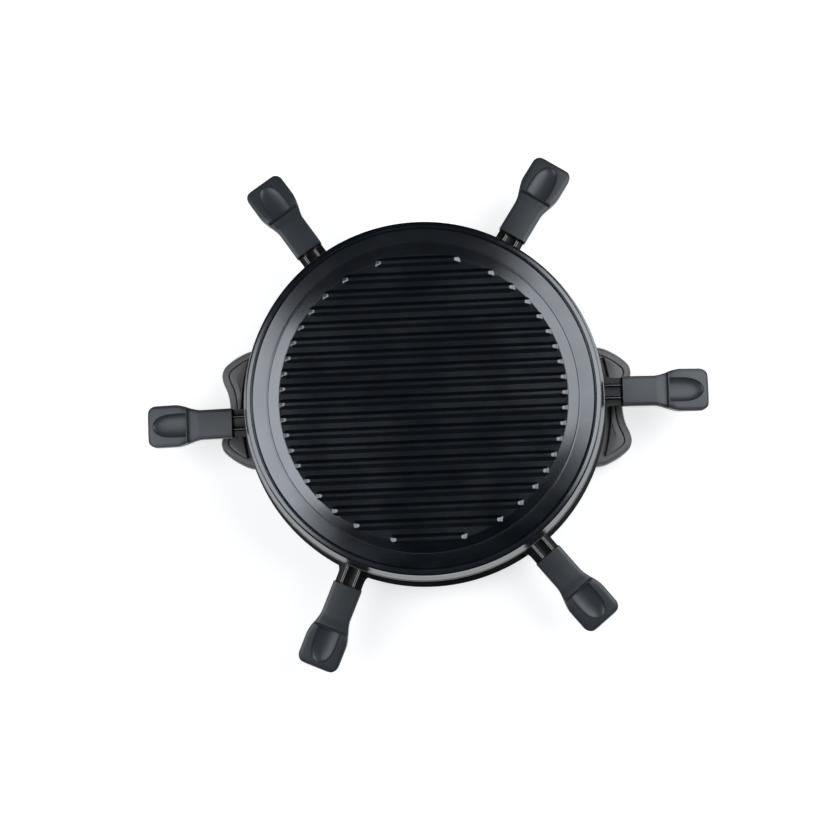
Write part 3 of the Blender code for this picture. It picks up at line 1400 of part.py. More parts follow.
def main():
    """Make the whole grill."""
    make_grill_plate()
    make_heater_skirt()
    make_posts()
    make_element()
    make_brackets()
    base, base_turn = make_base()
    make_deck()
    make_side_handles(base_turn)
    make_pans()
    switch_face = make_switch(base_turn)
    make_inlet(base_turn)
    make_wiring(switch_face)
    bpy.context.view_layer.update()


main()
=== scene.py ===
"""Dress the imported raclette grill: fine forms, finishes, studio light and the camera.

Everything is in metres in the model's own frame, whose origin lies on the table under the grill's
vertical axis. +X is the middle line of the first pan bay.
"""

import logging
import math
from dataclasses import dataclass, field, replace
from enum import Enum
from functools import partial
from typing import Iterable, Optional, Sequence, Union

import bmesh
import bpy
from mathutils import Matrix, Vector


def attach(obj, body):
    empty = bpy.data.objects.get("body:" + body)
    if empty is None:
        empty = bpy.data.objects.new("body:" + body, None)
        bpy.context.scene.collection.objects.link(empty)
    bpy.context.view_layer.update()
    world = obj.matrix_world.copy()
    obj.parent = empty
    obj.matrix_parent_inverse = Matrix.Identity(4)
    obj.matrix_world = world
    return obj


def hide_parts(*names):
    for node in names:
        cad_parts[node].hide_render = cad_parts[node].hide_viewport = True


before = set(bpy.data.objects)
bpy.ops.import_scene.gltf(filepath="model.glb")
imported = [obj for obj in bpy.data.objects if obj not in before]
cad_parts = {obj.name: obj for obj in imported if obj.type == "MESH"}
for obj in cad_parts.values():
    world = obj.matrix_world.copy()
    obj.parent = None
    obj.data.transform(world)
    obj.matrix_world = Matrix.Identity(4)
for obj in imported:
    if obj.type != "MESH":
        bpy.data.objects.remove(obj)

LOG = logging.getLogger("raclette_grill")
# Edges that turn by more stay sharp
SHARP_DEG = 34.0
# Points closer than this are one
MERGE = 1e-6
# Clearance between neighbouring pieces
GAP = 0.0003
# Steps of the large turned pieces
RING_STEPS = 256
BASE_STEPS = 240
# Flecks in a coat: scale, from where to where their edge fades, and how much lighter they are
FLECK_SCALE = 700.0
FLECK_EDGE = (0.05, 0.16)
FLECK_LIFT = 0.05
COAT_ROUGHNESS = 0.08
# How far a brushed relief is drawn out along X
BRUSH_STRETCH = 0.03
Color = tuple[float, float, float]
Corner = tuple[float, float, float]
Mesh = bpy.types.Mesh
Socket = bpy.types.NodeSocket


class Body(Enum):
    """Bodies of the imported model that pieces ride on, apart from the pans' own."""

    BASE = "base"
    PLATE = "plate"
    ROCKER = "rocker"


class Relief(Enum):
    """How the fine surface of a finish is marked."""

    GRAIN = "grain"
    SPRAYED = "sprayed"
    TURNED = "turned"
    BRUSHED = "brushed"
    WOVEN = "woven"
    SCALE = "scale"


# Node trees


class NodeTree:
    """A node tree under construction."""

    def __init__(self, tree: bpy.types.NodeTree) -> None:
        """Start with an empty tree.

        Args:
            tree: The tree to build in.
        """
        self.tree = tree
        tree.nodes.clear()

    def node(self, kind: str, values: Optional[dict] = None, **settings) -> bpy.types.Node:
        """Add a node.

        Args:
            kind: The node's type.
            values: Values or sockets for its inputs, by name or number.
            **settings: Properties of the node itself.

        Returns:
            The new node.
        """
        made = self.tree.nodes.new(kind)
        for key, value in settings.items():
            setattr(made, key, value)
        for key, value in (values or {}).items():
            self.plug(value, made.inputs[key])
        return made

    def plug(self, value: object, socket: Socket) -> None:
        """Link a socket to an input, or set the input's own value."""
        if isinstance(value, Socket):
            self.tree.links.new(value, socket)
        elif isinstance(value, tuple) and len(value) == 3 and len(socket.default_value) == 4:
            socket.default_value = (*value, 1.0)
        else:
            socket.default_value = value

    def math(self, operation: str, *values: object) -> Socket:
        """Return the result of a math node."""
        made = self.node("ShaderNodeMath", dict(enumerate(values)), operation=operation)
        return made.outputs[0]

    def split(self, vector: Socket) -> Sequence[Socket]:
        """Return the three parts of a vector."""
        return self.node("ShaderNodeSeparateXYZ", {0: vector}).outputs

    def spread(self, value: object, low: object, high: object, start: object = 0.3,
               end: object = 0.7, smooth: bool = True) -> Socket:
        """Map the range from start to end to the one from low to high."""
        return self.node("ShaderNodeMapRange", {
            "Value": value, "From Min": start, "From Max": end, "To Min": low, "To Max": high,
        }, interpolation_type="SMOOTHSTEP" if smooth else "LINEAR").outputs[0]


class Shader(NodeTree):
    """The node tree of a material or of the world."""

    def __init__(self, owner: Union[bpy.types.Material, bpy.types.World]) -> None:
        """Start an empty tree.

        Args:
            owner: The material or the world.
        """
        owner.use_nodes = True
        super().__init__(owner.node_tree)
        self.owner = owner
        self.coordinates = self.node("ShaderNodeTexCoord").outputs
        self.rays = self.node("ShaderNodeLightPath").outputs

    def noise(self, vector: object, scale: float, detail: float = 2.0) -> Socket:
        """Return the factor of a noise texture."""
        made = self.node("ShaderNodeTexNoise", {"Vector": vector, "Scale": scale, "Detail": detail})
        return made.outputs[0]

    def cells(self, vector: object, scale: float) -> Socket:
        """Return the distance of a Voronoi texture."""
        return self.node("ShaderNodeTexVoronoi", {"Vector": vector, "Scale": scale}).outputs[0]

    def scaled(self, vector: object, x_scale: float) -> Socket:
        """Return a vector whose X is scaled."""
        made = self.node("ShaderNodeMapping", {"Vector": vector, "Scale": (x_scale, 1.0, 1.0)})
        return made.outputs[0]

    def mix(self, factor: object, first: object, second: object) -> Socket:
        """Return a mix of two colours."""
        made = self.node("ShaderNodeMix", {0: factor, 6: first, 7: second}, data_type="RGBA")
        return made.outputs[2]

    def blend(self, factor: object, first: bpy.types.Node,
              second: bpy.types.Node) -> bpy.types.Node:
        """Return a mix of two surfaces."""
        ends = {0: factor, 1: first.outputs[0], 2: second.outputs[0]}
        return self.node("ShaderNodeMixShader", ends)

    def mirrored(self) -> Socket:
        """Return whether a ray comes from a gloss or through glass."""
        return self.math("MAXIMUM", self.rays["Is Glossy Ray"], self.rays["Is Transmission Ray"])

    def end_in(self, surface: bpy.types.Node) -> None:
        """Link a surface to the tree's output."""
        kind = "World" if isinstance(self.owner, bpy.types.World) else "Material"
        self.node(f"ShaderNodeOutput{kind}", {0: surface.outputs[0]})


@dataclass(frozen=True)
class Finish:
    """One surface finish as a procedural material.

    Attributes:
        name: The material's name.
        slot: The record's slot that the finish stands for; not used.
        color: Base colour, linear.
        roughness: Middle roughness.
        metallic: Metallic value.
        ior: Index of refraction of the surface.
        mottle: Share by which the colour varies.
        mottle_scale: Scale of that variation.
        smudge: By how much the roughness varies.
        relief: Kind of fine relief.
        relief_scale: Scale of the relief.
        relief_depth: Height of the relief in metres.
        relief_strength: Strength of the relief.
        fleck: Share of light flecks in the coat.
        coat: Weight of a clear coat.
        tint: Lighter colour of the variation, where it isn't the base colour's own.
        gloss_tint: Colour of the gloss.
    """

    name: str
    slot: str
    color: Color
    roughness: float
    metallic: float = 0.0
    ior: float = 1.5
    mottle: float = 0.10
    mottle_scale: float = 45.0
    smudge: float = 0.04
    relief: Relief = Relief.GRAIN
    relief_scale: float = 2200.0
    relief_depth: float = 0.00003
    relief_strength: float = 0.25
    fleck: float = 0.0
    coat: float = 0.0
    tint: Optional[Color] = None
    gloss_tint: Color = (1.0, 1.0, 1.0)

    def relief_height(self, shader: Shader, place: Socket) -> Socket:
        """Return the height pattern of the relief.

        Args:
            shader: The material's tree.
            place: Object coordinates.

        Returns:
            A factor that the bump reads.
        """
        if self.relief is Relief.TURNED:
            x, y, z = shader.split(place)
            square = shader.math("MULTIPLY_ADD", y, y, shader.math("MULTIPLY", x, x))
            flat = shader.node("ShaderNodeCombineXYZ", {0: shader.math("SQRT", square), 1: z})
            return shader.noise(flat.outputs[0], self.relief_scale, 3.0)
        if self.relief is Relief.BRUSHED:
            return shader.noise(shader.scaled(place, BRUSH_STRETCH), self.relief_scale, 3.0)
        if self.relief is Relief.WOVEN:
            return shader.math("MULTIPLY", *(
                shader.node("ShaderNodeTexWave", {"Vector": vector, "Scale": self.relief_scale},
                            bands_direction="DIAGONAL").outputs[1]
                for vector in (place, shader.scaled(place, -1.0))
            ))
        if self.relief is Relief.SPRAYED:
            fine = shader.noise(place, self.relief_scale, 3.0)
            broad = shader.noise(place, self.relief_scale * 0.22, 1.0)
            return shader.math("MULTIPLY_ADD", broad, 0.6, fine)
        if self.relief is Relief.SCALE:
            cells = shader.cells(place, self.relief_scale)
            return shader.math("MULTIPLY_ADD", shader.noise(place, self.relief_scale * 3.0, 4.0),
                               0.7, cells)
        return shader.noise(place, self.relief_scale, 2.0)

    def material(self) -> bpy.types.Material:
        """Return the finish as a material, built on its first use."""
        label = f"{self.name}_finish"
        known = bpy.data.materials.get(label)
        if known is not None:
            return known
        shader = Shader(bpy.data.materials.new(label))
        place = shader.coordinates["Object"]
        cloud = shader.noise(place, self.mottle_scale, 5.0)
        dark = tuple(value * (1.0 - self.mottle) for value in self.color)
        light = self.tint or tuple(value * (1.0 + self.mottle) for value in self.color)
        color = shader.mix(shader.spread(cloud, 0.0, 1.0), dark, light)
        if self.fleck:
            mark = shader.spread(shader.cells(place, FLECK_SCALE), self.fleck, 0.0, *FLECK_EDGE)
            color = shader.mix(mark, color, tuple(FLECK_LIFT + value for value in self.color))
        broad = shader.noise(place, self.mottle_scale * 0.6, 3.0)
        bump = shader.node("ShaderNodeBump", {
            "Height": self.relief_height(shader, place),
            "Strength": self.relief_strength,
            "Distance": self.relief_depth,
        })
        shader.end_in(shader.node("ShaderNodeBsdfPrincipled", {
            "Base Color": color,
            "Roughness": shader.spread(broad, self.roughness - self.smudge,
                                       self.roughness + self.smudge),
            "Metallic": self.metallic,
            "IOR": self.ior,
            "Specular Tint": self.gloss_tint,
            "Coat Weight": self.coat,
            "Coat Roughness": COAT_ROUGHNESS,
            "Normal": bump.outputs[0],
        }))
        shader.owner.diffuse_color = (*self.color, 1.0)
        return shader.owner

    def dress_nodes(self, names: Iterable[str]) -> None:
        """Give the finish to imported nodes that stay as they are."""
        for name in names:
            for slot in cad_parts[name].material_slots:
                slot.material = self.material()
            LOG.info("node %s takes %s", name, self.name)


PLATE_COAT = Finish("plate_coat", "nonstick_coating", (0.0020, 0.0038, 0.0064), 0.20, ior=1.95,
                    mottle=0.16, relief=Relief.SPRAYED, relief_scale=1100.0,
                    relief_depth=0.00002, relief_strength=0.10, fleck=0.10, smudge=0.030,
                    gloss_tint=(0.93, 0.96, 1.0))
PAN_COAT = Finish("pan_coat", "pan_coating", (0.0040, 0.0038, 0.0032), 0.34, ior=1.33,
                  mottle=0.15, relief=Relief.SPRAYED, relief_scale=1300.0,
                  relief_depth=0.00002, relief_strength=0.15, fleck=0.08)
# A lighter, glossier copy of the pan coat for the thin sheet over the tang's pressed ribs: a painted
# highlight along the ribs.
TANG_BEAD_HIGHLIGHT = replace(PAN_COAT, name="tang_bead", color=(0.0060, 0.0057, 0.0050), roughness=0.20,
                    ior=1.9, mottle=0.10, relief_strength=0.10, fleck=0.0)
GRIP_PLASTIC = Finish("grip_plastic", "grip_plastic", (0.0330, 0.0385, 0.0435), 0.36,
                      mottle=0.05, relief_scale=2600.0, relief_depth=0.00004,
                      relief_strength=0.12)
WING_PLASTIC = Finish("wing_plastic", "wing_plastic", (0.150, 0.150, 0.143), 0.42, ior=1.6,
                      mottle=0.07, relief_scale=2400.0, relief_depth=0.00005,
                      relief_strength=0.20)
BASE_PLASTIC = Finish("base_plastic", "base_plastic", (0.0036, 0.0036, 0.0038), 0.40, ior=1.33,
                      relief_scale=2000.0, relief_strength=0.2)
POLISHED_STEEL = Finish("polished_steel", "polished_steel", (0.215, 0.219, 0.223), 0.15,
                        metallic=1.0, mottle=0.03, relief=Relief.TURNED, relief_scale=5200.0,
                        relief_depth=0.00001, relief_strength=0.15)
PLAIN_STEEL = replace(POLISHED_STEEL, name="plain_steel", slot="plain_steel",
                      color=(0.46, 0.46, 0.45), roughness=0.34, mottle=0.05,
                      relief_scale=4200.0, relief_strength=0.3)
STRAP_STEEL = replace(PLAIN_STEEL, name="strap_steel", color=(0.44, 0.44, 0.43), roughness=0.36,
                      mottle=0.06, relief=Relief.BRUSHED, relief_scale=3800.0)
ELEMENT_STEEL = Finish("element_steel", "element_steel", (0.11, 0.10, 0.095), 0.45,
                       metallic=1.0, mottle=0.3, mottle_scale=28.0, relief=Relief.SCALE,
                       relief_scale=900.0, tint=(0.23, 0.17, 0.13))
POST_ENAMEL = Finish("post_enamel", "post_enamel", (0.012, 0.012, 0.013), 0.30, coat=0.3,
                     relief=Relief.SPRAYED, relief_scale=800.0)
FOOT_RUBBER = Finish("foot_rubber", "foot_rubber", (0.022, 0.022, 0.022), 0.78, smudge=0.06,
                     relief_scale=1500.0, relief_depth=0.00006, relief_strength=0.4)
CERAMIC = Finish("ceramic", "ceramic", (0.74, 0.71, 0.64), 0.55, mottle=0.05,
                 relief_scale=1200.0, relief_depth=0.00005)
SWITCH_PLASTIC = Finish("switch_plastic", "switch_plastic", (0.010, 0.010, 0.011), 0.24,
                        relief_strength=0.08)
LAMP_LENS = Finish("lamp_lens", "lamp_red", (0.42, 0.020, 0.014), 0.16, coat=0.6, mottle=0.12,
                   relief=Relief.TURNED, relief_scale=1800.0, relief_depth=0.00006)
LEAD_SLEEVE = Finish("lead_sleeve", "lead_sleeve", (0.28, 0.15, 0.08), 0.66, mottle=0.2,
                     relief=Relief.WOVEN, relief_scale=900.0, relief_depth=0.0001)


# Meshes


def softened(profile: Sequence[Corner], steps: int = 4, closed: bool = True) -> list[Vector]:
    """Round each corner of a flat path by its own radius.

    Args:
        profile: Points as (first, second, corner radius).
        steps: Steps of each rounding.
        closed: Whether the path closes on itself.

    Returns:
        The rounded path.
    """
    points: list[Vector] = []
    count = len(profile)
    for i, (a, b, radius) in enumerate(profile):
        corner = Vector((a, b))
        if radius <= 0 or (not closed and i in (0, count - 1)):
            points.append(corner)
            continue
        before = Vector(profile[i - 1][:2]) - corner
        after = Vector(profile[(i + 1) % count][:2]) - corner
        back, ahead = before.normalized(), after.normalized()
        half = back.angle(ahead) / 2
        if abs(half - math.pi / 2) < 0.01:
            points.append(corner)
            continue
        reach = min(radius / math.tan(half), 0.47 * before.length, 0.47 * after.length)
        radius = reach * math.tan(half)
        centre = corner + (back + ahead).normalized() * (radius / math.sin(half))
        start, end = corner + back * reach - centre, corner + ahead * reach - centre
        turn = start.angle(end)
        for k in range(steps + 1):
            t = k / steps
            mixed = start * math.sin((1 - t) * turn) + end * math.sin(t * turn)
            points.append(centre + mixed / math.sin(turn))
    return points


def smooth_curve(points: Sequence[Sequence[float]], steps: int) -> list[Vector]:
    """Run a smooth curve through points.

    Args:
        points: The points to run through.
        steps: Steps of each span.

    Returns:
        The points of the curve.
    """
    knots = [Vector(point) for point in points]
    result: list[Vector] = []
    for i in range(len(knots) - 1):
        b, c = knots[i], knots[i + 1]
        a = knots[i - 1] if i else b - (c - b)
        d = knots[i + 2] if i + 2 < len(knots) else c + (c - b)
        for k in range(steps):
            t = k / steps
            blend = 2 * b + (c - a) * t + (2 * a - 5 * b + 4 * c - d) * t * t
            result.append((blend + (3 * b - a - 3 * c + d) * t**3) / 2)
    result.append(knots[-1])
    return result


def smooth_step(value: float) -> float:
    """Ease a share from 0 to 1."""
    t = min(max(value, 0.0), 1.0)
    return t * t * (3 - 2 * t)


def polar(radius: float, angle: float, height: float = 0.0) -> Vector:
    """Return the point at a radius and an angle about the vertical axis."""
    return Vector((radius * math.cos(angle), radius * math.sin(angle), height))


def around(count: int, radius: float, height: float, turn: float) -> list[Vector]:
    """Return the places in the middle of equal sectors about the vertical axis."""
    return [polar(radius, (i + 0.5) * 2 * math.pi / count + turn, height) for i in range(count)]


def beside(line: Sequence[Vector], steps_aside: Sequence[float]) -> list[Vector]:
    """Return a flat line, moved to its left by its own distance at each point."""
    last = len(line) - 1
    moved = []
    for i, (point, aside) in enumerate(zip(line, steps_aside)):
        along = line[min(i + 1, last)] - line[max(i - 1, 0)]
        moved.append(point + Vector((-along.y, along.x, 0.0)).normalized() * aside)
    return moved


def numbered(stem: str, count: int) -> list[str]:
    """Return the names of pieces that are numbered from one."""
    return [f"{stem}_{i + 1}" for i in range(count)]


class Shape:
    """A mesh under construction."""

    def __init__(self) -> None:
        """Start with nothing."""
        self.bm = bmesh.new()

    def loft(self, rings: Sequence[Sequence[Sequence[float]]], closed: bool = True,
             loop: bool = False, caps: bool = False) -> "Shape":
        """Skin a row of rings.

        Args:
            rings: Rings of points, all of one length.
            closed: Whether each ring closes on itself.
            loop: Whether the last ring joins the first.
            caps: Whether both ends are filled.

        Returns:
            The shape itself.
        """
        rows = [[self.bm.verts.new(point) for point in ring] for ring in rings]
        count = len(rows[0])
        pairs = list(zip(rows, rows[1:])) + ([(rows[-1], rows[0])] if loop else [])
        for first, second in pairs:
            for i in range(count if closed else count - 1):
                j = (i + 1) % count
                self.bm.faces.new((first[i], first[j], second[j], second[i]))
        if caps:
            self.bm.faces.new(rows[0])
            self.bm.faces.new(rows[-1])
        return self

    def lathe(self, profile: Sequence[Vector], steps: int = 180, loop: bool = True) -> "Shape":
        """Turn a flat profile of (radius, height) about the vertical axis."""
        rings = [
            [polar(point[0], 2 * math.pi * k / steps, point[1]) for point in profile]
            for k in range(steps)
        ]
        return self.loft(rings, closed=loop, loop=True)

    def tube(self, path: Sequence[Vector], radius: float, sides: int = 14) -> "Shape":
        """Run a round tube with closed ends along a path."""
        rings = []
        side: Optional[Vector] = None
        for i, point in enumerate(path):
            along = (path[min(i + 1, len(path) - 1)] - path[max(i - 1, 0)]).normalized()
            if side is None:
                side = along.orthogonal().normalized()
            side = (side - along * side.dot(along)).normalized()
            other = along.cross(side)
            ring = []
            for k in range(sides):
                angle = 2 * math.pi * k / sides
                ring.append(point + radius * (math.cos(angle) * side + math.sin(angle) * other))
            rings.append(ring)
        return self.loft(rings, caps=True)

    def prism(self, outline: Sequence[Sequence[float]], low: float, high: float,
              edge: float = 0.0, segments: int = 3, low_edge: Optional[float] = None) -> "Shape":
        """Raise a flat outline between two heights and round its rims.

        Args:
            outline: The outline's points.
            low: Height of the lower face.
            high: Height of the upper face.
            edge: Radius of the rims.
            segments: Steps of each rounding.
            low_edge: Radius of the lower rim where it isn't that of the upper one.

        Returns:
            The shape itself.
        """
        rings = [[(p[0], p[1], z) for p in outline] for z in (low, high)]
        self.loft(rings, caps=True)
        for level, radius in ((low, edge if low_edge is None else low_edge), (high, edge)):
            if radius:
                rim = [e for e in self.bm.edges
                       if all(abs(vert.co.z - level) < MERGE for vert in e.verts)]
                self.rounded(rim, radius, segments)
        return self

    def block(self, low: Sequence[float], high: Sequence[float], edge: float = 0.0,
              segments: int = 3) -> "Shape":
        """Put a box between two corners and round its edges."""
        size = [b - a for a, b in zip(low, high)]
        middle = [(a + b) / 2 for a, b in zip(low, high)]
        matrix = Matrix.Translation(middle) @ Matrix.Diagonal((*size, 1.0))
        made = bmesh.ops.create_cube(self.bm, size=1.0, matrix=matrix)["verts"]
        if edge:
            self.rounded({e for vert in made for e in vert.link_edges}, edge, segments)
        return self

    def rounded(self, edges: Iterable[bmesh.types.BMEdge], radius: float, segments: int) -> None:
        """Round some edges."""
        bmesh.ops.bevel(self.bm, geom=list(edges), offset=radius, segments=segments,
                        profile=0.5, affect="EDGES")

    def mesh(self, name: str, matrix: Optional[Matrix] = None) -> Mesh:
        """Close the shape, turn its faces outward and return it as a mesh."""
        bmesh.ops.remove_doubles(self.bm, verts=self.bm.verts, dist=MERGE)
        bmesh.ops.recalc_face_normals(self.bm, faces=self.bm.faces)
        if matrix is not None:
            self.bm.transform(matrix)
        made = bpy.data.meshes.new(name)
        self.bm.to_mesh(made)
        self.bm.free()
        return made


def turned(name: str, profile: Sequence[Corner], steps: int, rounding: int = 4,
           matrix: Optional[Matrix] = None, ring: bool = False) -> Mesh:
    """Turn a profile with rounded corners about the vertical axis.

    Args:
        name: The mesh's name.
        profile: Its points as (radius, height, corner radius).
        steps: Steps of the turn.
        rounding: Steps of each corner.
        matrix: Where the mesh goes.
        ring: Whether the profile closes on itself instead of ending on the axis.

    Returns:
        The mesh.
    """
    path = softened(profile, rounding, closed=ring)
    return Shape().lathe(path, steps, loop=ring).mesh(name, matrix)


def drum(name: str, radius: float, low: float, high: float, steps: int,
         matrix: Optional[Matrix] = None) -> Mesh:
    """Return an upright cylinder between two heights."""
    profile = [(0.0, high, 0.0), (radius, high, 0.0), (radius, low, 0.0), (0.0, low, 0.0)]
    return turned(name, profile, steps, matrix=matrix)


def transformed(mesh: Mesh, matrix: Matrix) -> Mesh:
    """Return a copy of a mesh in another place."""
    made = mesh.copy()
    made.transform(matrix)
    return made


def linked(name: str, data: Optional[bpy.types.ID]) -> bpy.types.Object:
    """Add an object to the scene."""
    made = bpy.data.objects.new(name, data)
    bpy.context.scene.collection.objects.link(made)
    return made


def evaluated_mesh(obj: bpy.types.Object, name: str) -> Mesh:
    """Return an object's mesh with its modifiers applied, and remove the object."""
    depsgraph = bpy.context.evaluated_depsgraph_get()
    made = bpy.data.meshes.new_from_object(obj.evaluated_get(depsgraph))
    made.name = name
    bpy.data.objects.remove(obj, do_unlink=True)
    return made


def combined(mesh: Mesh, tools: Sequence[Mesh],
             operation: str = "DIFFERENCE") -> Mesh:
    """Cut tools out of a mesh, or join them to it.

    Args:
        mesh: The mesh to work on.
        tools: Closed meshes in the same place.
        operation: The Boolean operation.

    Returns:
        A new mesh.
    """
    target = linked(mesh.name, mesh)
    helpers = [linked(tool.name, tool) for tool in tools]
    for helper in helpers:
        helper.hide_render = True
        modifier = target.modifiers.new(helper.name, "BOOLEAN")
        modifier.operation = operation
        modifier.object = helper
    made = evaluated_mesh(target, mesh.name)
    for helper in helpers:
        bpy.data.objects.remove(helper, do_unlink=True)
    return made


def add_piece(name: str, mesh: Mesh, finish: Finish,
              body: Union[Body, str] = Body.BASE, replaces: Sequence[str] = (),
              sharp_deg: float = SHARP_DEG) -> None:
    """Add a finished piece that rides on a body.

    Args:
        name: The piece's name. With "_fine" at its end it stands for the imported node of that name.
        mesh: Its mesh, already in place.
        finish: Its finish.
        body: The body that it rides on.
        replaces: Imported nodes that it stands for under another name.
        sharp_deg: Edges that turn by more stay sharp.
    """
    mesh.materials.clear()
    mesh.materials.append(finish.material())
    mesh.shade_smooth()
    mesh.set_sharp_from_angle(angle=math.radians(sharp_deg))
    piece = linked(name, mesh)
    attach(piece, body.value if isinstance(body, Body) else body)
    if name.endswith("_fine"):
        replaces = [name.removesuffix("_fine")]
    if replaces:
        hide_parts(*replaces)
    LOG.info("piece %s: %d faces, %s", name, len(mesh.polygons), finish.name)


# Geometry node trees


class GrowthTree(NodeTree):
    """A geometry node tree with named inputs."""

    kinds = ((int, "Int"), (float, "Float"), (tuple, "Vector"), (bpy.types.Object, "Object"),
             (bpy.types.Material, "Material"))

    def __init__(self, name: str, values: dict) -> None:
        """Start a tree.

        Args:
            name: The tree's name.
            values: Values of its inputs by name, with the material of what it grows.
        """
        super().__init__(bpy.data.node_groups.new(name, "GeometryNodeTree"))
        self.values = values
        face = self.tree.interface
        face.new_socket("Geometry", in_out="INPUT", socket_type="NodeSocketGeometry")
        for label, value in values.items():
            kind = next(kind for held, kind in self.kinds if isinstance(value, held))
            face.new_socket(label, in_out="INPUT", socket_type=f"NodeSocket{kind}")
        face.new_socket("Geometry", in_out="OUTPUT", socket_type="NodeSocketGeometry")
        self.inputs = self.node("NodeGroupInput").outputs

    def grow(self, name: str, start: Mesh,
             geometry: Socket) -> Mesh:
        """End the tree in Realize Instances and Set Material, and run it.

        Args:
            name: Name of the result.
            start: The mesh that the tree starts from.
            geometry: What the tree has grown.

        Returns:
            The result as a plain mesh.
        """
        real = self.node("GeometryNodeRealizeInstances", {0: geometry})
        painted = self.node("GeometryNodeSetMaterial", {
            "Geometry": real.outputs[0], "Material": self.inputs["Material"],
        })
        self.node("NodeGroupOutput", {0: painted.outputs[0]})
        holder = linked(name, start)
        modifier = holder.modifiers.new(name, "NODES")
        modifier.node_group = self.tree
        for item in self.tree.interface.items_tree:
            if item.in_out == "INPUT" and item.name in self.values:
                modifier[item.identifier] = self.values[item.name]
        bpy.context.view_layer.update()
        return evaluated_mesh(holder, name)


def copied(name: str, template: Mesh, places: Sequence[Vector], finish: Finish,
           turn: Corner = (0.0, 0.0, 0.0)) -> Mesh:
    """Return copies of a template at some places as one mesh.

    Args:
        name: Name of the result.
        template: The mesh to copy.
        places: Where the copies go.
        finish: Their finish.
        turn: How each copy is turned.

    Returns:
        The copies.
    """
    points = bpy.data.meshes.new(name + "_places")
    points.from_pydata([tuple(place) for place in places], [], [])
    model = linked(name + "_template", template)
    tree = GrowthTree("copies", {"Template": model, "Turn": turn, "Material": finish.material()})
    info = tree.node("GeometryNodeObjectInfo", {"Object": tree.inputs["Template"]})
    placed = tree.node("GeometryNodeInstanceOnPoints", {
        "Points": tree.inputs["Geometry"],
        "Instance": info.outputs["Geometry"],
        "Rotation": tree.inputs["Turn"],
    })
    made = tree.grow(name, points, placed.outputs[0])
    bpy.data.objects.remove(model, do_unlink=True)
    return made


# The grill


@dataclass(frozen=True)
class Levels:
    """Heights and radii that several sub-assemblies share."""

    base_turn: float = math.radians(-6.0)
    plate_turn: float = math.radians(-4.0)
    foot: float = 0.006
    flange: float = 0.050
    flange_under: float = 0.046
    deck: float = 0.0511
    deck_sheet: float = 0.0008
    skirt_bottom: float = 0.0845
    skirt_top: float = 0.1047
    inner_flange: float = 0.096
    plate_seat: float = 0.105
    plate_top: float = 0.110
    floor: float = 0.101
    plate_under: float = 0.0978
    element: float = 0.09105
    pan_floor: float = 0.0524
    pan_rim: float = 0.0634
    wing_top: float = 0.026
    flange_radius: float = 0.1594
    neck_radius: float = 0.1509
    toe_radius: float = 0.1369
    cover_radius: float = 0.1334
    ledge_wall_radius: float = 0.144
    inner_flange_radius: float = 0.134
    skirt_top_radius: float = 0.148
    skirt_bottom_radius: float = 0.1549

    def wall_radius(self, height: float) -> float:
        """Return the outer radius of the base's wall at a height."""
        share = (self.flange_under - height) / (self.flange_under - self.foot)
        return self.neck_radius - (self.neck_radius - self.toe_radius) * share


LEVELS = Levels()


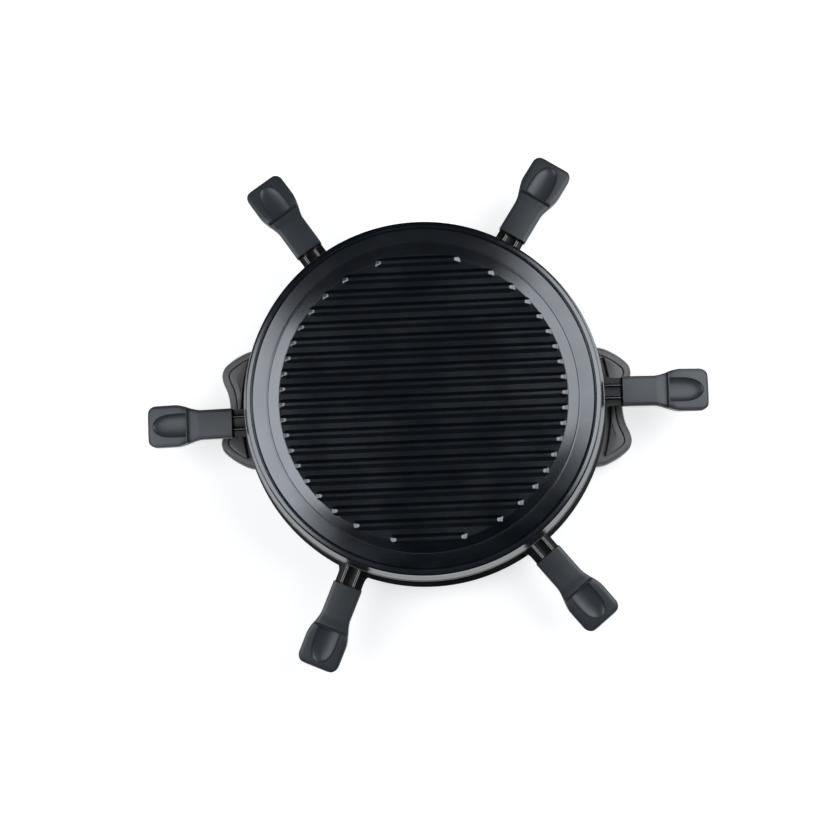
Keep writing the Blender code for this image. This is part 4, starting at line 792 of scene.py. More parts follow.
@dataclass
class GrillPlate:
    """The cast grill plate: a dish with a lip, a double slope and ribs."""

    radius: float = 0.1504
    lip_width: float = 0.0061
    slope_top: float = 0.1086
    crease_radius: float = 0.1324
    crease: float = 0.1050
    floor_radius: float = 0.122
    thickness: float = 0.0032
    rib_count: int = 19
    rib_pitch: float = 0.01318
    rib_shift: float = -0.0006
    rib_field_radius: float = 0.1237
    rib_width: float = 0.0094
    rib_height: float = 0.0023
    rib_slope: float = 0.0034
    rib_root: float = 0.0012
    rib_end_radius: float = 0.0034
    rib_end_slope: float = 0.0054
    rib_end_zone: float = 0.0125
    rib_sink: float = 0.00025
    rib_grid: tuple[int, int, int] = (73, 19, 2)
    rim_depth: float = 0.00002
    ramp_share: float = 0.72
    guide_radius: float = 0.0030
    guide_drop: float = 0.0016
    guide_sunk: float = 0.0005
    guide_inset: float = 0.012
    dish_sharp_deg: float = 24.0
    rib_sharp_deg: float = 70.0

    def dish_mesh(self) -> Mesh:
        """Return the turned dish."""
        inner = self.radius - self.lip_width
        top = LEVELS.plate_top
        profile = [
            (0.0, LEVELS.floor, 0.0),
            (self.floor_radius + 0.0008, LEVELS.floor, 0.0070),
            (self.crease_radius - 0.0009, self.crease - 0.0004, 0.0003),
            (self.crease_radius - 0.0004, self.crease + 0.0001, 0.0003),
            (self.crease_radius + 0.0002, self.crease + 0.0003, 0.0004),
            (self.crease_radius + 0.0009, self.crease + 0.0001, 0.0003),
            (inner - 0.0004, self.slope_top, 0.0005),
            (inner + 0.0013, top - 0.0001, 0.0004),
            (inner + 0.0021, top, 0.0012),
            (self.radius - 0.0014, top - 0.0005, 0.0022),
            (self.radius, top - 0.0011, 0.0004),
            (self.radius, LEVELS.plate_seat, 0.0003),
            (self.radius - 0.0070, LEVELS.plate_seat, 0.0006),
            (self.crease_radius, self.crease - self.thickness, 0.0030),
            (self.floor_radius, LEVELS.plate_under, 0.0060),
            (0.0, LEVELS.plate_under, 0.0),
        ]
        return turned("grill_plate_dish", profile, RING_STEPS, 6)

    def rib_mesh(self) -> Mesh:
        """Grow the ribs.

        Each rib starts as a flat grid block on its own row. Its points are then spread along the
        chord of the floor, and lifted by how deep they lie inside the rib's rounded outline.

        Returns:
            All ribs as one mesh.
        """
        tree = GrowthTree("rib_field", {
            "Count": self.rib_count, "Pitch": self.rib_pitch, "Shift": self.rib_shift,
            "Field Radius": self.rib_field_radius, "Half Width": self.rib_width / 2,
            "Height": self.rib_height, "Slope": self.rib_slope,
            "End Radius": self.rib_end_radius, "End Zone": self.rib_end_zone,
            "End Slope": self.rib_end_slope, "Floor": LEVELS.floor, "Root": self.rib_root,
            "Turn": LEVELS.plate_turn, "Material": PLATE_COAT.material(),
        })
        given, calc = tree.inputs, tree.math
        plus, minus, times, larger = (
            partial(calc, kind) for kind in ("ADD", "SUBTRACT", "MULTIPLY", "MAXIMUM")
        )
        block = tree.node("GeometryNodeMeshCube", {"Size": (2.0, 0.5, 1.0), **{
            f"Vertices {axis}": count for axis, count in zip("XYZ", self.rib_grid)
        }})
        rows = tree.node("GeometryNodeMeshLine", {
            "Count": given["Count"], "Offset": (0.0, 1.0, 0.0),
        })
        placed = tree.node("GeometryNodeInstanceOnPoints", {
            "Points": rows.outputs[0], "Instance": block.outputs[0],
        })
        real = tree.node("GeometryNodeRealizeInstances", {0: placed.outputs[0]})
        x, y, z = tree.split(tree.node("GeometryNodeInputPosition").outputs[0])
        # Where the rib lies, and how long it is there
        row = calc("ROUND", y)
        middle = times(minus(given["Count"], 1.0), 0.5)
        place = plus(times(minus(row, middle), given["Pitch"]), given["Shift"])
        room = minus(calc("POWER", given["Field Radius"], 2.0), calc("POWER", place, 2.0))
        half = calc("SQRT", larger(room, 0.0001))
        # The first half of the block's points goes to the body, the second to the end
        share = times(calc("ABSOLUTE", x), 2.0)
        body = times(calc("MINIMUM", share, 1.0), minus(half, given["End Zone"]))
        tip = times(larger(minus(share, 1.0), 0.0), given["End Zone"])
        along = plus(body, tip)
        aside = times(times(minus(y, row), 4.0), given["Half Width"])
        # How deep a point lies inside the outline
        stretch = calc("DIVIDE", given["Slope"], given["End Slope"])
        end_x = plus(times(minus(along, half), stretch), given["End Radius"])
        end_y = minus(calc("ABSOLUTE", aside), minus(given["Half Width"], given["End Radius"]))
        outside = calc("SQRT", plus(calc("POWER", larger(end_x, 0.0), 2.0),
                                    calc("POWER", larger(end_y, 0.0), 2.0)))
        inside = calc("MINIMUM", larger(end_x, end_y), 0.0)
        depth = minus(given["End Radius"], plus(outside, inside))
        # The lift, from a straight and a soft ramp
        ramp = tree.spread(depth, 0.0, 1.0, 0.0, given["Slope"], smooth=False)
        soft = times(times(ramp, ramp), minus(3.0, times(ramp, 2.0)))
        lift = times(plus(times(ramp, self.ramp_share), times(soft, 1.0 - self.ramp_share)),
                     given["Height"])
        sunk = times(calc("LESS_THAN", depth, self.rim_depth), -self.rib_sink)
        top = plus(given["Floor"], plus(lift, sunk))
        bottom = minus(given["Floor"], given["Root"])
        height = plus(bottom, times(calc("GREATER_THAN", z, 0.0), minus(top, bottom)))
        joined = tree.node("ShaderNodeCombineXYZ", {
            0: times(along, calc("SIGN", x)), 1: plus(place, aside), 2: height,
        })
        moved = tree.node("GeometryNodeSetPosition", {
            "Geometry": real.outputs[0], "Position": joined.outputs[0],
        })
        spin = tree.node("ShaderNodeCombineXYZ", {2: given["Turn"]})
        spun = tree.node("GeometryNodeTransform", {
            "Geometry": moved.outputs[0], "Rotation": spin.outputs[0],
        })
        start = bpy.data.meshes.new("rib_start")
        return tree.grow("grill_plate_ribs", start, spun.outputs[0])

    def guide_mesh(self) -> Mesh:
        """Return the guide lugs under the plate."""
        r, drop, sunk = self.guide_radius, self.guide_drop, self.guide_sunk
        profile = [(0.0, sunk, 0.0), (r, sunk, 0.0), (r, -drop, 0.0006), (0.0, -drop, 0.0)]
        places = around(6, self.floor_radius - self.guide_inset, LEVELS.plate_under,
                        LEVELS.plate_turn)
        return copied("grill_plate_guides", turned("guide", profile, 24), places, PLATE_COAT)

    def build(self) -> None:
        """Make the plate."""
        add_piece("grill_plate_dish", self.dish_mesh(), PLATE_COAT, Body.PLATE, ["grill_plate"],
                  self.dish_sharp_deg)
        add_piece("grill_plate_ribs", self.rib_mesh(), PLATE_COAT, Body.PLATE,
                  sharp_deg=self.rib_sharp_deg)
        add_piece("grill_plate_guides", self.guide_mesh(), PLATE_COAT, Body.PLATE)


@dataclass
class HeaterRing:
    """The polished skirt, the heating element and its straps."""

    sheet: float = 0.001
    hem: float = 0.0009
    waist: float = 0.0930
    waist_radius: float = 0.1497
    element_diameter: float = 0.0065
    element_radius: float = 0.098
    leg_spread: float = 0.008
    leg_radius: float = 0.135
    leg_drop: float = 0.015
    leg_bend: float = 0.006
    sharp_deg: float = 50.0

    def skirt_mesh(self) -> Mesh:
        """Return the skirt with its seat and its inner flange."""
        t = self.sheet
        slope = math.atan2(LEVELS.skirt_bottom_radius - LEVELS.skirt_top_radius,
                           LEVELS.skirt_top - LEVELS.skirt_bottom)
        side = t / math.cos(slope)
        outer = [
            (LEVELS.inner_flange_radius, LEVELS.inner_flange, 0.0003),
            (LEVELS.ledge_wall_radius, LEVELS.inner_flange, 0.0002),
            (LEVELS.ledge_wall_radius, LEVELS.skirt_top, 0.0010),
            (LEVELS.skirt_top_radius, LEVELS.skirt_top, 0.0012),
            (self.waist_radius, self.waist, 0.030),
            (LEVELS.skirt_bottom_radius - 0.0003, LEVELS.skirt_bottom + 0.0008, 0.0004),
        ]
        inner = [
            (LEVELS.skirt_bottom_radius - 0.0004 - side, LEVELS.skirt_bottom, 0.0003),
            (self.waist_radius - side, self.waist - 0.0003, 0.030),
            (LEVELS.skirt_top_radius - side * 0.6, LEVELS.skirt_top - t, 0.0006),
            (LEVELS.ledge_wall_radius + t, LEVELS.skirt_top - t, 0.0003),
            (LEVELS.ledge_wall_radius + t, LEVELS.inner_flange - t, 0.0010),
            (LEVELS.inner_flange_radius, LEVELS.inner_flange - t, 0.0003),
        ]
        return turned("heater_skirt_fine", outer + inner, RING_STEPS, 5, ring=True)

    def hem_mesh(self) -> Mesh:
        """Return the rolled hem along the skirt's lower edge."""
        middle = Vector((LEVELS.skirt_bottom_radius - self.hem, LEVELS.skirt_bottom + 0.0006))
        profile = [middle + polar(self.hem, math.pi * k / 6).xy for k in range(12)]
        return Shape().lathe(profile, RING_STEPS).mesh("heater_skirt_hem")

    def element_mesh(self) -> Mesh:
        """Return the element, one ring whose legs go down into the rear post."""
        z, radius, bend_steps, ring_steps = LEVELS.element, self.element_radius, 9, 120
        shoulder = math.sqrt(radius**2 - self.leg_spread**2)
        leg = softened([
            (z - self.leg_drop, self.leg_radius, 0.0), (z, self.leg_radius, self.leg_bend),
            (z, shoulder, 0.0),
        ], 8, closed=False)
        legs = []
        for side in (1, -1):
            x = -side * self.leg_spread
            near = Vector((x, shoulder + 0.0085, z))
            corner = Vector((x * 1.02, radius - 0.001, z))
            far = polar(radius, math.pi / 2 + side * 2.2 * math.asin(self.leg_spread / radius), z)
            legs.append([Vector((x, y, height)) for height, y in leg[:-1]] + [near])
            for k in range(1, bend_steps):
                t = k / bend_steps
                legs[-1].append(near * (1 - t)**2 + corner * 2 * t * (1 - t) + far * t**2)
            legs[-1].append(far)
        first = legs[0][-1]
        start = math.atan2(first.y, first.x)
        sweep = 3 * math.pi - 2 * start
        ring = [polar(radius, start + sweep * k / ring_steps, z) for k in range(1, ring_steps)]
        route = legs[0] + ring + legs[1][::-1]
        return Shape().tube(route, self.element_diameter / 2, 18).mesh("heating_element_fine")

    def build(self) -> None:
        """Make the ring."""
        add_piece("heater_skirt_fine", self.skirt_mesh(), POLISHED_STEEL,
                  sharp_deg=self.sharp_deg)
        add_piece("heater_skirt_hem", self.hem_mesh(), POLISHED_STEEL)
        add_piece("heating_element_fine", self.element_mesh(), ELEMENT_STEEL)
        STRAP_STEEL.dress_nodes(numbered("element_bracket", 3))


@dataclass
class Posts:
    """The posts between the bays."""

    def build(self) -> None:
        """Dress the posts and what the rear one holds."""
        POST_ENAMEL.dress_nodes(["post_left", "post_right", "wire_duct_post"])
        CERAMIC.dress_nodes(["ceramic_terminal"])


@dataclass
class Base:
    """The base housing with deck, cover, feet and screws."""

    wall: float = 0.003
    opening_inset: float = 0.036
    deck_radius: float = 0.1534
    foot_radius: float = 0.012
    foot_circle_inset: float = 0.024
    screw_radius: float = 0.003
    screw_height: float = 0.0016
    ledge_low: float = 0.0088
    ledge_high: float = 0.012
    ledge_width: float = 0.007
    cover_screw_inset: float = 0.0035
    post_circle: float = 0.138
    rear_post_x: float = -0.016
    turn: Matrix = field(default_factory=lambda: Matrix.Rotation(LEVELS.base_turn, 4, "Z"))

    def housing_mesh(self) -> Mesh:
        """Return the turned housing with the cut-outs for switch, lamp and inlet."""
        opening = LEVELS.flange_radius - self.opening_inset
        low, high, w = self.ledge_low, self.ledge_high, self.wall
        low_radius, high_radius = (LEVELS.wall_radius(level) - w for level in (low, high))
        profile = [
            (opening, LEVELS.flange, 0.0004),
            (LEVELS.flange_radius, LEVELS.flange, 0.0016),
            (LEVELS.flange_radius, LEVELS.flange_under, 0.0012),
            (LEVELS.neck_radius, LEVELS.flange_under, 0.0015),
            (LEVELS.toe_radius, LEVELS.foot, 0.0012),
            (LEVELS.toe_radius - w, LEVELS.foot, 0.0004),
            (low_radius, low, 0.0002),
            (low_radius - self.ledge_width, low, 0.0003),
            (high_radius - self.ledge_width, high, 0.0003),
            (high_radius, high, 0.0004),
            (LEVELS.neck_radius - w, LEVELS.flange_under, 0.001),
            (opening, LEVELS.flange_under, 0.0004),
        ]
        mesh = turned("base_housing_fine", profile, BASE_STEPS, matrix=self.turn, ring=True)
        return combined(mesh, Controls().cutter_meshes())

    def deck_mesh(self) -> Mesh:
        """Return the steel deck with its rolled edge."""
        under = LEVELS.deck - LEVELS.deck_sheet
        profile = [
            (0.0, LEVELS.deck, 0.0),
            (0.040, LEVELS.deck, 0.001),
            (0.0412, LEVELS.deck - 0.0002, 0.001),
            (self.deck_radius - 0.0010, LEVELS.deck, 0.0),
            (self.deck_radius, LEVELS.deck, 0.0004),
            (self.deck_radius, under, 0.0003),
            (0.0, under, 0.0),
        ]
        return turned("deck", profile, BASE_STEPS)

    def foot_mesh(self) -> Mesh:
        """Return the four feet."""
        top, r = LEVELS.foot - GAP, self.foot_radius
        profile = [
            (0.0, top, 0.0), (r, top, 0.0004), (r, top / 2, 0.001), (r - 0.0015, 0.0, 0.0008),
            (0.0070, 0.0, 0.0004), (0.0062, 0.0008, 0.0004), (0.0, 0.0008, 0.0),
        ]
        circle = LEVELS.cover_radius - self.foot_circle_inset
        places = around(4, circle, 0.0, LEVELS.base_turn)
        return copied("feet", turned("foot", profile, 48), places, FOOT_RUBBER)

    def screw_template(self) -> Mesh:
        """Return a pan-head screw's head with a cross recess, pointing down."""
        r, h = self.screw_radius, self.screw_height
        profile = [(0.0, 0.0, 0.0), (r, 0.0, 0.0002), (r, -0.4 * h, 0.0008), (0.55 * r, -h, 0.0012),
                   (0.0, -h, 0.0)]
        arms = [
            Shape().block((-x * r, -y * r, -1.5 * h), (x * r, y * r, -0.45 * h)).mesh(name)
            for name, x, y in (("recess_x", 0.58, 0.13), ("recess_y", 0.13, 0.58))
        ]
        return combined(turned("screw_head", profile, 32, 5), arms)

    def screws(self) -> None:
        """Make the heads of the cover's and the posts' screws."""
        circle = LEVELS.wall_radius(self.ledge_low) - self.wall - self.cover_screw_inset
        under = around(4, circle, LEVELS.foot - GAP, LEVELS.base_turn)
        seat = LEVELS.inner_flange + GAP
        tops = [Vector((self.rear_post_x, self.post_circle, seat))]
        tops += [polar(self.post_circle, math.radians(angle), seat) for angle in (210, 330)]
        for kind, places, turn in (("cover_screw", under, 0.0), ("post_screw", tops, math.pi)):
            name = f"{kind}_heads"
            mesh = copied(name, self.screw_template(), places, PLAIN_STEEL, (turn, 0.0, 0.0))
            add_piece(name, mesh, PLAIN_STEEL, replaces=numbered(kind, len(places)))

    def build(self) -> None:
        """Make the base."""
        add_piece("base_housing_fine", self.housing_mesh(), BASE_PLASTIC)
        add_piece("pan_deck_fine", self.deck_mesh(), PLAIN_STEEL)
        add_piece("feet", self.foot_mesh(), FOOT_RUBBER, replaces=numbered("foot", 4))
        self.screws()
        BASE_PLASTIC.dress_nodes(["bottom_cover"])
        CERAMIC.dress_nodes(["junction_block"])
        STRAP_STEEL.dress_nodes(["thermal_cutout"])
        LEAD_SLEEVE.dress_nodes(["lead_neutral", "lead_heater", "lead_switched", "lead_live"])


@dataclass
class SideHandles:
    """The two side handles of the base with their inlaid panels."""

    reach: float = 0.0238
    half_width: float = 0.0538
    thickness: float = 0.014
    edge: float = 0.0040
    low_edge: float = 0.0024
    border: float = 0.0063
    play: float = 0.0010
    panel_depth: float = 0.0024
    slot_play: float = 0.0005
    slot_width: float = 0.0056
    slot_depth: float = 0.0066
    slot_half_angle: float = math.radians(15.5)
    grip_wall: float = 0.003
    grip_depth: float = 0.0068
    panel_edge: float = 0.0004
    slot_overlap: float = 0.0005
    root_radius: float = 0.1271
    arc_steps: int = 28
    mark_half: float = 0.00062
    mark_depth: float = 0.0014
    mark_points: tuple[Corner, ...] = (
        (0.1657, -0.0142, 0.0), (0.1664, -0.0205, 0.0), (0.1693, -0.0268, 0.0),
    )
    outline_shares: tuple[tuple[float, float], ...] = (
        (0.682, 0.0), (0.723, 0.169), (0.805, 0.300), (0.927, 0.419), (1.0, 0.536),
        (0.986, 0.620), (0.909, 0.700), (0.723, 0.784), (0.391, 0.887), (-0.018, 0.972),
        (-0.427, 1.0), (-1.0, 1.0),
    )

    def line(self, inset: float) -> list[Vector]:
        """Return the outer line of a handle, drawn in by an inset, from root to root."""
        half = [
            (LEVELS.flange_radius + reach * self.reach, width * self.half_width)
            for reach, width in self.outline_shares
        ]
        points = [(x, -y, 0.0) for x, y in reversed(half)] + [(x, y, 0.0) for x, y in half[1:]]
        curve = smooth_curve(points, 7)
        return beside(curve, [inset] * len(curve))

    def outline(self, inset: float, inner: float) -> list[Vector]:
        """Return a closed outline between the line and an arc about the axis."""
        line = [point for point in self.line(inset) if point.length > inner]
        first, last = (math.atan2(end.y, end.x) for end in (line[0], line[-1]))
        steps = self.arc_steps
        return line + [polar(inner, last + (first - last) * k / steps) for k in range(steps + 1)]

    def slot_outline(self) -> list[Vector]:
        """Return the slot between the flange and the panel."""
        inner = LEVELS.flange_radius + self.slot_play
        outer = inner + self.slot_width + self.slot_overlap
        steps = self.arc_steps
        angles = [self.slot_half_angle * (2 * k / steps - 1) for k in range(steps + 1)]
        return [polar(outer, angle) for angle in angles] + [
            polar(inner, angle) for angle in reversed(angles)]

    def mark_mesh(self) -> Mesh:
        """Return the crescent that is pressed into the panel."""
        line = smooth_curve(self.mark_points, 8)
        count = len(line)
        widths = [self.mark_half * math.sin(math.pi * (i + 0.4) / count) for i in range(count)]
        outline = beside(line, widths) + beside(line, [-width for width in widths])[::-1]
        top = LEVELS.wing_top
        return Shape().prism(outline, top - self.mark_depth, top + 0.001).mesh("mark")

    def build(self) -> None:
        """Make both side handles."""
        top, inner = LEVELS.wing_top, LEVELS.flange_radius + self.slot_play
        low = top - self.thickness
        panel_low = top - self.panel_depth
        body = Shape().prism(self.outline(0.0, self.root_radius), low, top, self.edge, 6,
                             self.low_edge).mesh("wing")
        wall = [(LEVELS.wall_radius(LEVELS.flange) + GAP, LEVELS.flange, 0.0),
                (LEVELS.wall_radius(LEVELS.foot) + GAP, LEVELS.foot, 0.0),
                (0.0, LEVELS.foot, 0.0), (0.0, LEVELS.flange, 0.0)]
        cuts = [Shape().prism(outline, cut_low, cut_high).mesh(name)
                for name, outline, cut_low, cut_high in (
                    ("pocket", self.outline(self.border, inner), panel_low - GAP, top + 0.002),
                    ("slot", self.slot_outline(), top - self.slot_depth, top + 0.001),
                    ("grip", self.outline(self.grip_wall, LEVELS.flange_radius - self.grip_wall),
                     low - 0.002, low + self.grip_depth))]
        body = combined(body, cuts + [turned("wing_wall", wall, BASE_STEPS, ring=True)])
        panel = Shape().prism(self.outline(self.border + self.play, inner + self.slot_width),
                              panel_low, top, self.panel_edge, 2).mesh("panel")
        panel = combined(panel, [self.mark_mesh()])
        for name, angle in (("right", 0.0), ("left", math.pi)):
            matrix = Matrix.Rotation(LEVELS.base_turn + angle, 4, "Z")
            for part, kind in ((body, "side_handle"), (panel, "side_handle_panel")):
                add_piece(f"{kind}_{name}_fine", transformed(part, matrix), WING_PLASTIC)


@dataclass
class Controls:
    """The rocker switch, the pilot lamp and the cord grommet in the base's wall."""

    switch_width: float = 0.0150
    switch_length: float = 0.0240
    rim: float = 0.0018
    rim_height: float = 0.0016
    rim_edge: float = 0.0006
    window_rim: float = 0.0016
    window_play: tuple[float, float] = (0.0004, 0.0008)
    depth: float = 0.013
    rocker_proud: float = 0.0022
    rocker_hollow: float = 0.0012
    rocker_depth: float = 0.0045
    lamp_radius: float = 0.0040
    lamp_offset: float = 0.022
    inlet_radius: float = 0.0062
    inlet_bore: float = 0.0043
    inlet_flange: float = 0.0025
    inlet_proud: float = 0.003
    seat: float = 0.0006
    switch_z: float = 0.028
    inlet_z: float = 0.0258
    cut_out: float = 0.005
    switch_cut: float = -0.007
    round_cut: float = -0.009
    rocker_edge: float = 0.0005
    rocker_lean: float = math.radians(-6.0)

    def face(self, angle: float, height: float, lean: float = 0.0) -> Matrix:
        """Return the frame of a spot on the base's wall, with +Z out of the wall."""
        slope = math.atan2(LEVELS.neck_radius - LEVELS.toe_radius,
                           LEVELS.flange_under - LEVELS.foot)
        return (
            Matrix.Rotation(LEVELS.base_turn, 4, "Z")
            @ Matrix.Translation(polar(LEVELS.wall_radius(height), angle, height))
            @ Matrix.Rotation(angle + math.pi / 2, 4, "Z")
            @ Matrix.Rotation(math.pi / 2 + slope + lean, 4, "X")
        )

    def switch_face(self, lean: float = 0.0) -> Matrix:
        """Return the switch's frame."""
        return self.face(-math.pi / 2, self.switch_z, lean)

    def lamp_face(self) -> Matrix:
        """Return the lamp's frame."""
        radius = LEVELS.wall_radius(self.switch_z)
        return self.face(-math.pi / 2 + self.lamp_offset / radius, self.switch_z)

    def inlet_face(self) -> Matrix:
        """Return the grommet's frame."""
        return self.face(math.pi / 2, self.inlet_z)

    def cutter_meshes(self) -> list[Mesh]:
        """Return the cutters for the openings in the base's wall."""
        x, y = self.switch_width / 2 + GAP, self.switch_length / 2 + GAP
        square = Shape().block((-x, -y, self.switch_cut), (x, y, self.cut_out))
        return [square.mesh("c1", self.switch_face())] + [
            drum(name, radius + GAP, self.round_cut, self.cut_out, 40, face)
            for name, radius, face in (("c2", self.lamp_radius, self.lamp_face()),
                                       ("c3", self.inlet_radius, self.inlet_face()))
        ]

    def switch_mesh(self) -> Mesh:
        """Return the switch's body with its window."""
        x, y, r = self.switch_width / 2, self.switch_length / 2, self.rim
        top = self.seat + self.rim_height
        rim = Shape().block((-x - r, -y - r, self.seat), (x + r, y + r, top), self.rim_edge)
        body = Shape().block((-x, -y, -self.depth), (x, y, self.seat + 0.0004)).mesh("body")
        joined = combined(rim.mesh("switch_frame"), [body], "UNION")
        x, y = x - self.window_rim, y - self.window_rim
        window = Shape().block((-x, -y, -self.rocker_depth - 0.0016), (x, y, top + 0.002))
        return transformed(combined(joined, [window.mesh("window")]), self.switch_face())

    def rocker_mesh(self) -> Mesh:
        """Return the rocker with its hollowed face and rounded edges."""
        x, y = (size / 2 - self.window_rim - play for size, play in
                zip((self.switch_width, self.switch_length), self.window_play))
        proud = self.seat + self.rim_height + self.rocker_proud
        low, edge = self.rocker_depth, self.rocker_edge
        across = [k / 8 - 1 for k in range(17)]
        top = [(y * t, proud - self.rocker_hollow * (1 - t * t), 0.0) for t in across]
        under = [(-y, -low / 4, 0.0005), (-y / 2, -low, 0.001), (y / 2, -low, 0.001),
                 (y, -low / 4, 0.0005)]
        profile = softened(under + top[::-1])
        middle = Vector((0.0, (proud - low) / 2))
        ends = [(-x, edge), (-x + 0.2 * edge, 0.4 * edge), (-x + edge, 0.0)]
        sections = [
            [(px, *(point + (middle - point).normalized() * inset)) for point in profile]
            for px, inset in ends + [(-px, inset) for px, inset in reversed(ends)]
        ]
        return Shape().loft(sections, caps=True).mesh("rocker", self.switch_face(self.rocker_lean))

    def lamp_mesh(self) -> Mesh:
        """Return the lamp's domed lens."""
        r, seat = self.lamp_radius, self.seat
        rim = r + 0.0015
        dome = [(r * math.sin(a), seat + 0.0006 + 0.0016 * math.cos(a), 0.0)
                for a in (0.0, 0.25, 0.5, 0.75, 1.0, 1.25, 1.45)]
        profile = dome + [(rim, seat + 0.0005, 0.0002), (rim, seat, 0.0001), (r, seat, 0.0),
                          (r, -0.006, 0.0), (0.0, -0.006, 0.0)]
        return turned("lens", profile, 48, 3, self.lamp_face())

    def grommet_mesh(self) -> Mesh:
        """Return the grommet with its bore."""
        seat, back, r = self.seat, -Base().wall - self.seat, self.inlet_radius
        rim = r + self.inlet_flange
        profile = [
            (self.inlet_bore, seat + self.inlet_proud, 0.0007), (rim, seat + 0.0015, 0.0009),
            (rim, seat, 0.0003), (r, seat, 0.0), (r, back, 0.0), (r + 0.00125, back, 0.0002),
            (r + 0.00125, back - 0.0015, 0.0005), (self.inlet_bore, back - 0.0015, 0.0004),
        ]
        return turned("grommet", profile, 56, matrix=self.inlet_face(), ring=True)

    def build(self) -> None:
        """Make the controls."""
        add_piece("switch_body_fine", self.switch_mesh(), SWITCH_PLASTIC)
        add_piece("switch_rocker_fine", self.rocker_mesh(), SWITCH_PLASTIC, Body.ROCKER)
        add_piece("pilot_lens_fine", self.lamp_mesh(), LAMP_LENS)
        add_piece("cord_grommet_fine", self.grommet_mesh(), FOOT_RUBBER)


@dataclass
class PanSet:
    """The six pans, each with its handle and screw."""

    inner_x: float = 0.052
    outer_x: float = 0.1425
    inner_half: float = 0.020
    outer_half: float = 0.042
    corner: float = 0.011
    sheet: float = 0.001
    rim: float = 0.003
    draft: float = 0.0025
    droop: float = math.radians(3.2)
    tang_length: float = 0.0195
    tang_half: float = 0.012
    tang_flare: float = 0.012
    tang_insert: float = 0.0307
    flare_share: float = 0.62
    flare_power: float = 2.4
    tang_stations: tuple[float, ...] = (
        -0.0025, 0.0, 0.0012, 0.0024, 0.0038, 0.0054, 0.0072, 0.0092, 0.0115, 0.014,
    )
    bead_highlight_stations: tuple[float, ...] = (0.0012, 0.0024, 0.0038, 0.0054, 0.0072, 0.0110)
    rib_start: float = 0.0006
    rib_ramp: float = 0.0035
    rib_offset: float = 0.0055
    rib_half: float = 0.0019
    rib_height: float = 0.0009
    # Lift of the thin sheet that carries the ribs' painted highlight above the tang's own ribs
    bead_highlight_lift: float = 0.00006
    grip_length: float = 0.0753
    neck_half: float = 0.0129
    head_half: float = 0.01825
    neck_top: float = 0.0052
    neck_dip: float = 0.0042
    crest_top: float = 0.0082
    head_end_top: float = 0.0056
    bottom: float = 0.0050
    edge: float = 0.0011
    rim_width: float = 0.0030
    rim_fall: float = 0.0005
    end_corner: float = 0.008
    bevel: float = 0.0009
    bevel_fall: float = 2.4
    under_edge: float = 0.0022
    end_turn_deg: float = 7.4
    end_droop: float = 0.0008
    dip_start: float = 0.385
    dip_end: float = 0.5135
    crest_share: float = 0.526
    ridge_width: float = 0.0010
    ridge_span: float = 0.0133
    ridge_fall: float = 0.00025
    ledge_start: float = 0.0145
    ledge_span: float = 0.05
    ledge_drop: float = 0.0004
    widen_start: float = 0.355
    widen_span: float = 0.320
    screw_share: float = 0.24
    recess_radius: float = 0.0033
    recess_low: float = -0.007
    recess_high: float = -0.0028
    scoop_length: float = 0.0225
    scoop_centre: float = 0.0075
    scoop_half: float = 0.0106
    scoop_depth: float = 0.0034
    scoop_bluntness: float = 0.72
    pull: float = 0.0066
    side: float = 0.0095
    rest_shares: tuple[tuple[str, float, float, float], ...] = (
        ("right", -4.94, 1.0, 0.58), ("back_right", 52.99, 0.12, 0.95),
        ("back_left", 119.72, 0.62, 0.27), ("left", 176.33, 0.44, 1.0),
        ("front_left", 242.07, 0.97, -0.31), ("front_right", 304.98, 0.58, -0.77),
    )

    @property
    def rim_x(self) -> float:
        """Return where the rim's outer edge lies."""
        return self.outer_x + self.rim

    @property
    def tang_z(self) -> float:
        """Return the height of the tang's top at the rim."""
        return LEVELS.pan_rim - GAP

    def ring(self, grow: float, height: float) -> list[Vector]:
        """Return one ring of the dish, grown outward on every side."""
        slope = math.atan2(self.outer_half - self.inner_half, self.outer_x - self.inner_x)
        aside = grow / math.cos(slope)
        inner = self.inner_half - grow * math.tan(slope) + aside
        outer = self.outer_half + grow * math.tan(slope) + aside
        radius = max(self.corner + grow, 0.002)
        corners = [
            (self.inner_x - grow, -inner, radius), (self.outer_x + grow, -outer, radius),
            (self.outer_x + grow, outer, radius), (self.inner_x - grow, inner, radius),
        ]
        return [Vector((p[0], p[1], height)) for p in softened(corners, 9)]

    def dish_mesh(self) -> Mesh:
        """Return the pressed dish with its rolled rim."""
        floor, rim, t = LEVELS.pan_floor, LEVELS.pan_rim, self.sheet
        path = [
            (-0.020, floor, 0.0),
            (-self.draft - 0.0008, floor, 0.0030),
            (-0.0002, rim, 0.0012),
            (self.rim, rim, 0.0006),
            (self.rim, rim - t, 0.0005),
            (0.0010, rim - t, 0.0008),
            (-self.draft + 0.0002, floor - t, 0.0036),
            (-0.020, floor - t, 0.0),
        ]
        rings = [self.ring(point[0], point[1]) for point in softened(path, 5, closed=False)]
        return Shape().loft(rings, caps=True).mesh("pan_dish")

    def tang_point(self, distance: float) -> tuple[float, float]:
        """Return (x, z) of the drooping tang at a distance from the rim."""
        return (self.rim_x + distance * math.cos(self.droop),
                self.tang_z - distance * math.sin(self.droop))

    def pressed_rib(self, distance: float, middle: float, steps: int) -> list[tuple[float, float]]:
        """Return (y, lift) across one pressed rib of the tang."""
        rise = self.rib_height * smooth_step((distance - self.rib_start) / self.rib_ramp)
        across = [2 * k / steps - 1 for k in range(steps + 1)]
        return [(middle + t * self.rib_half, rise * (0.5 + 0.5 * math.cos(math.pi * t)))
                for t in across]

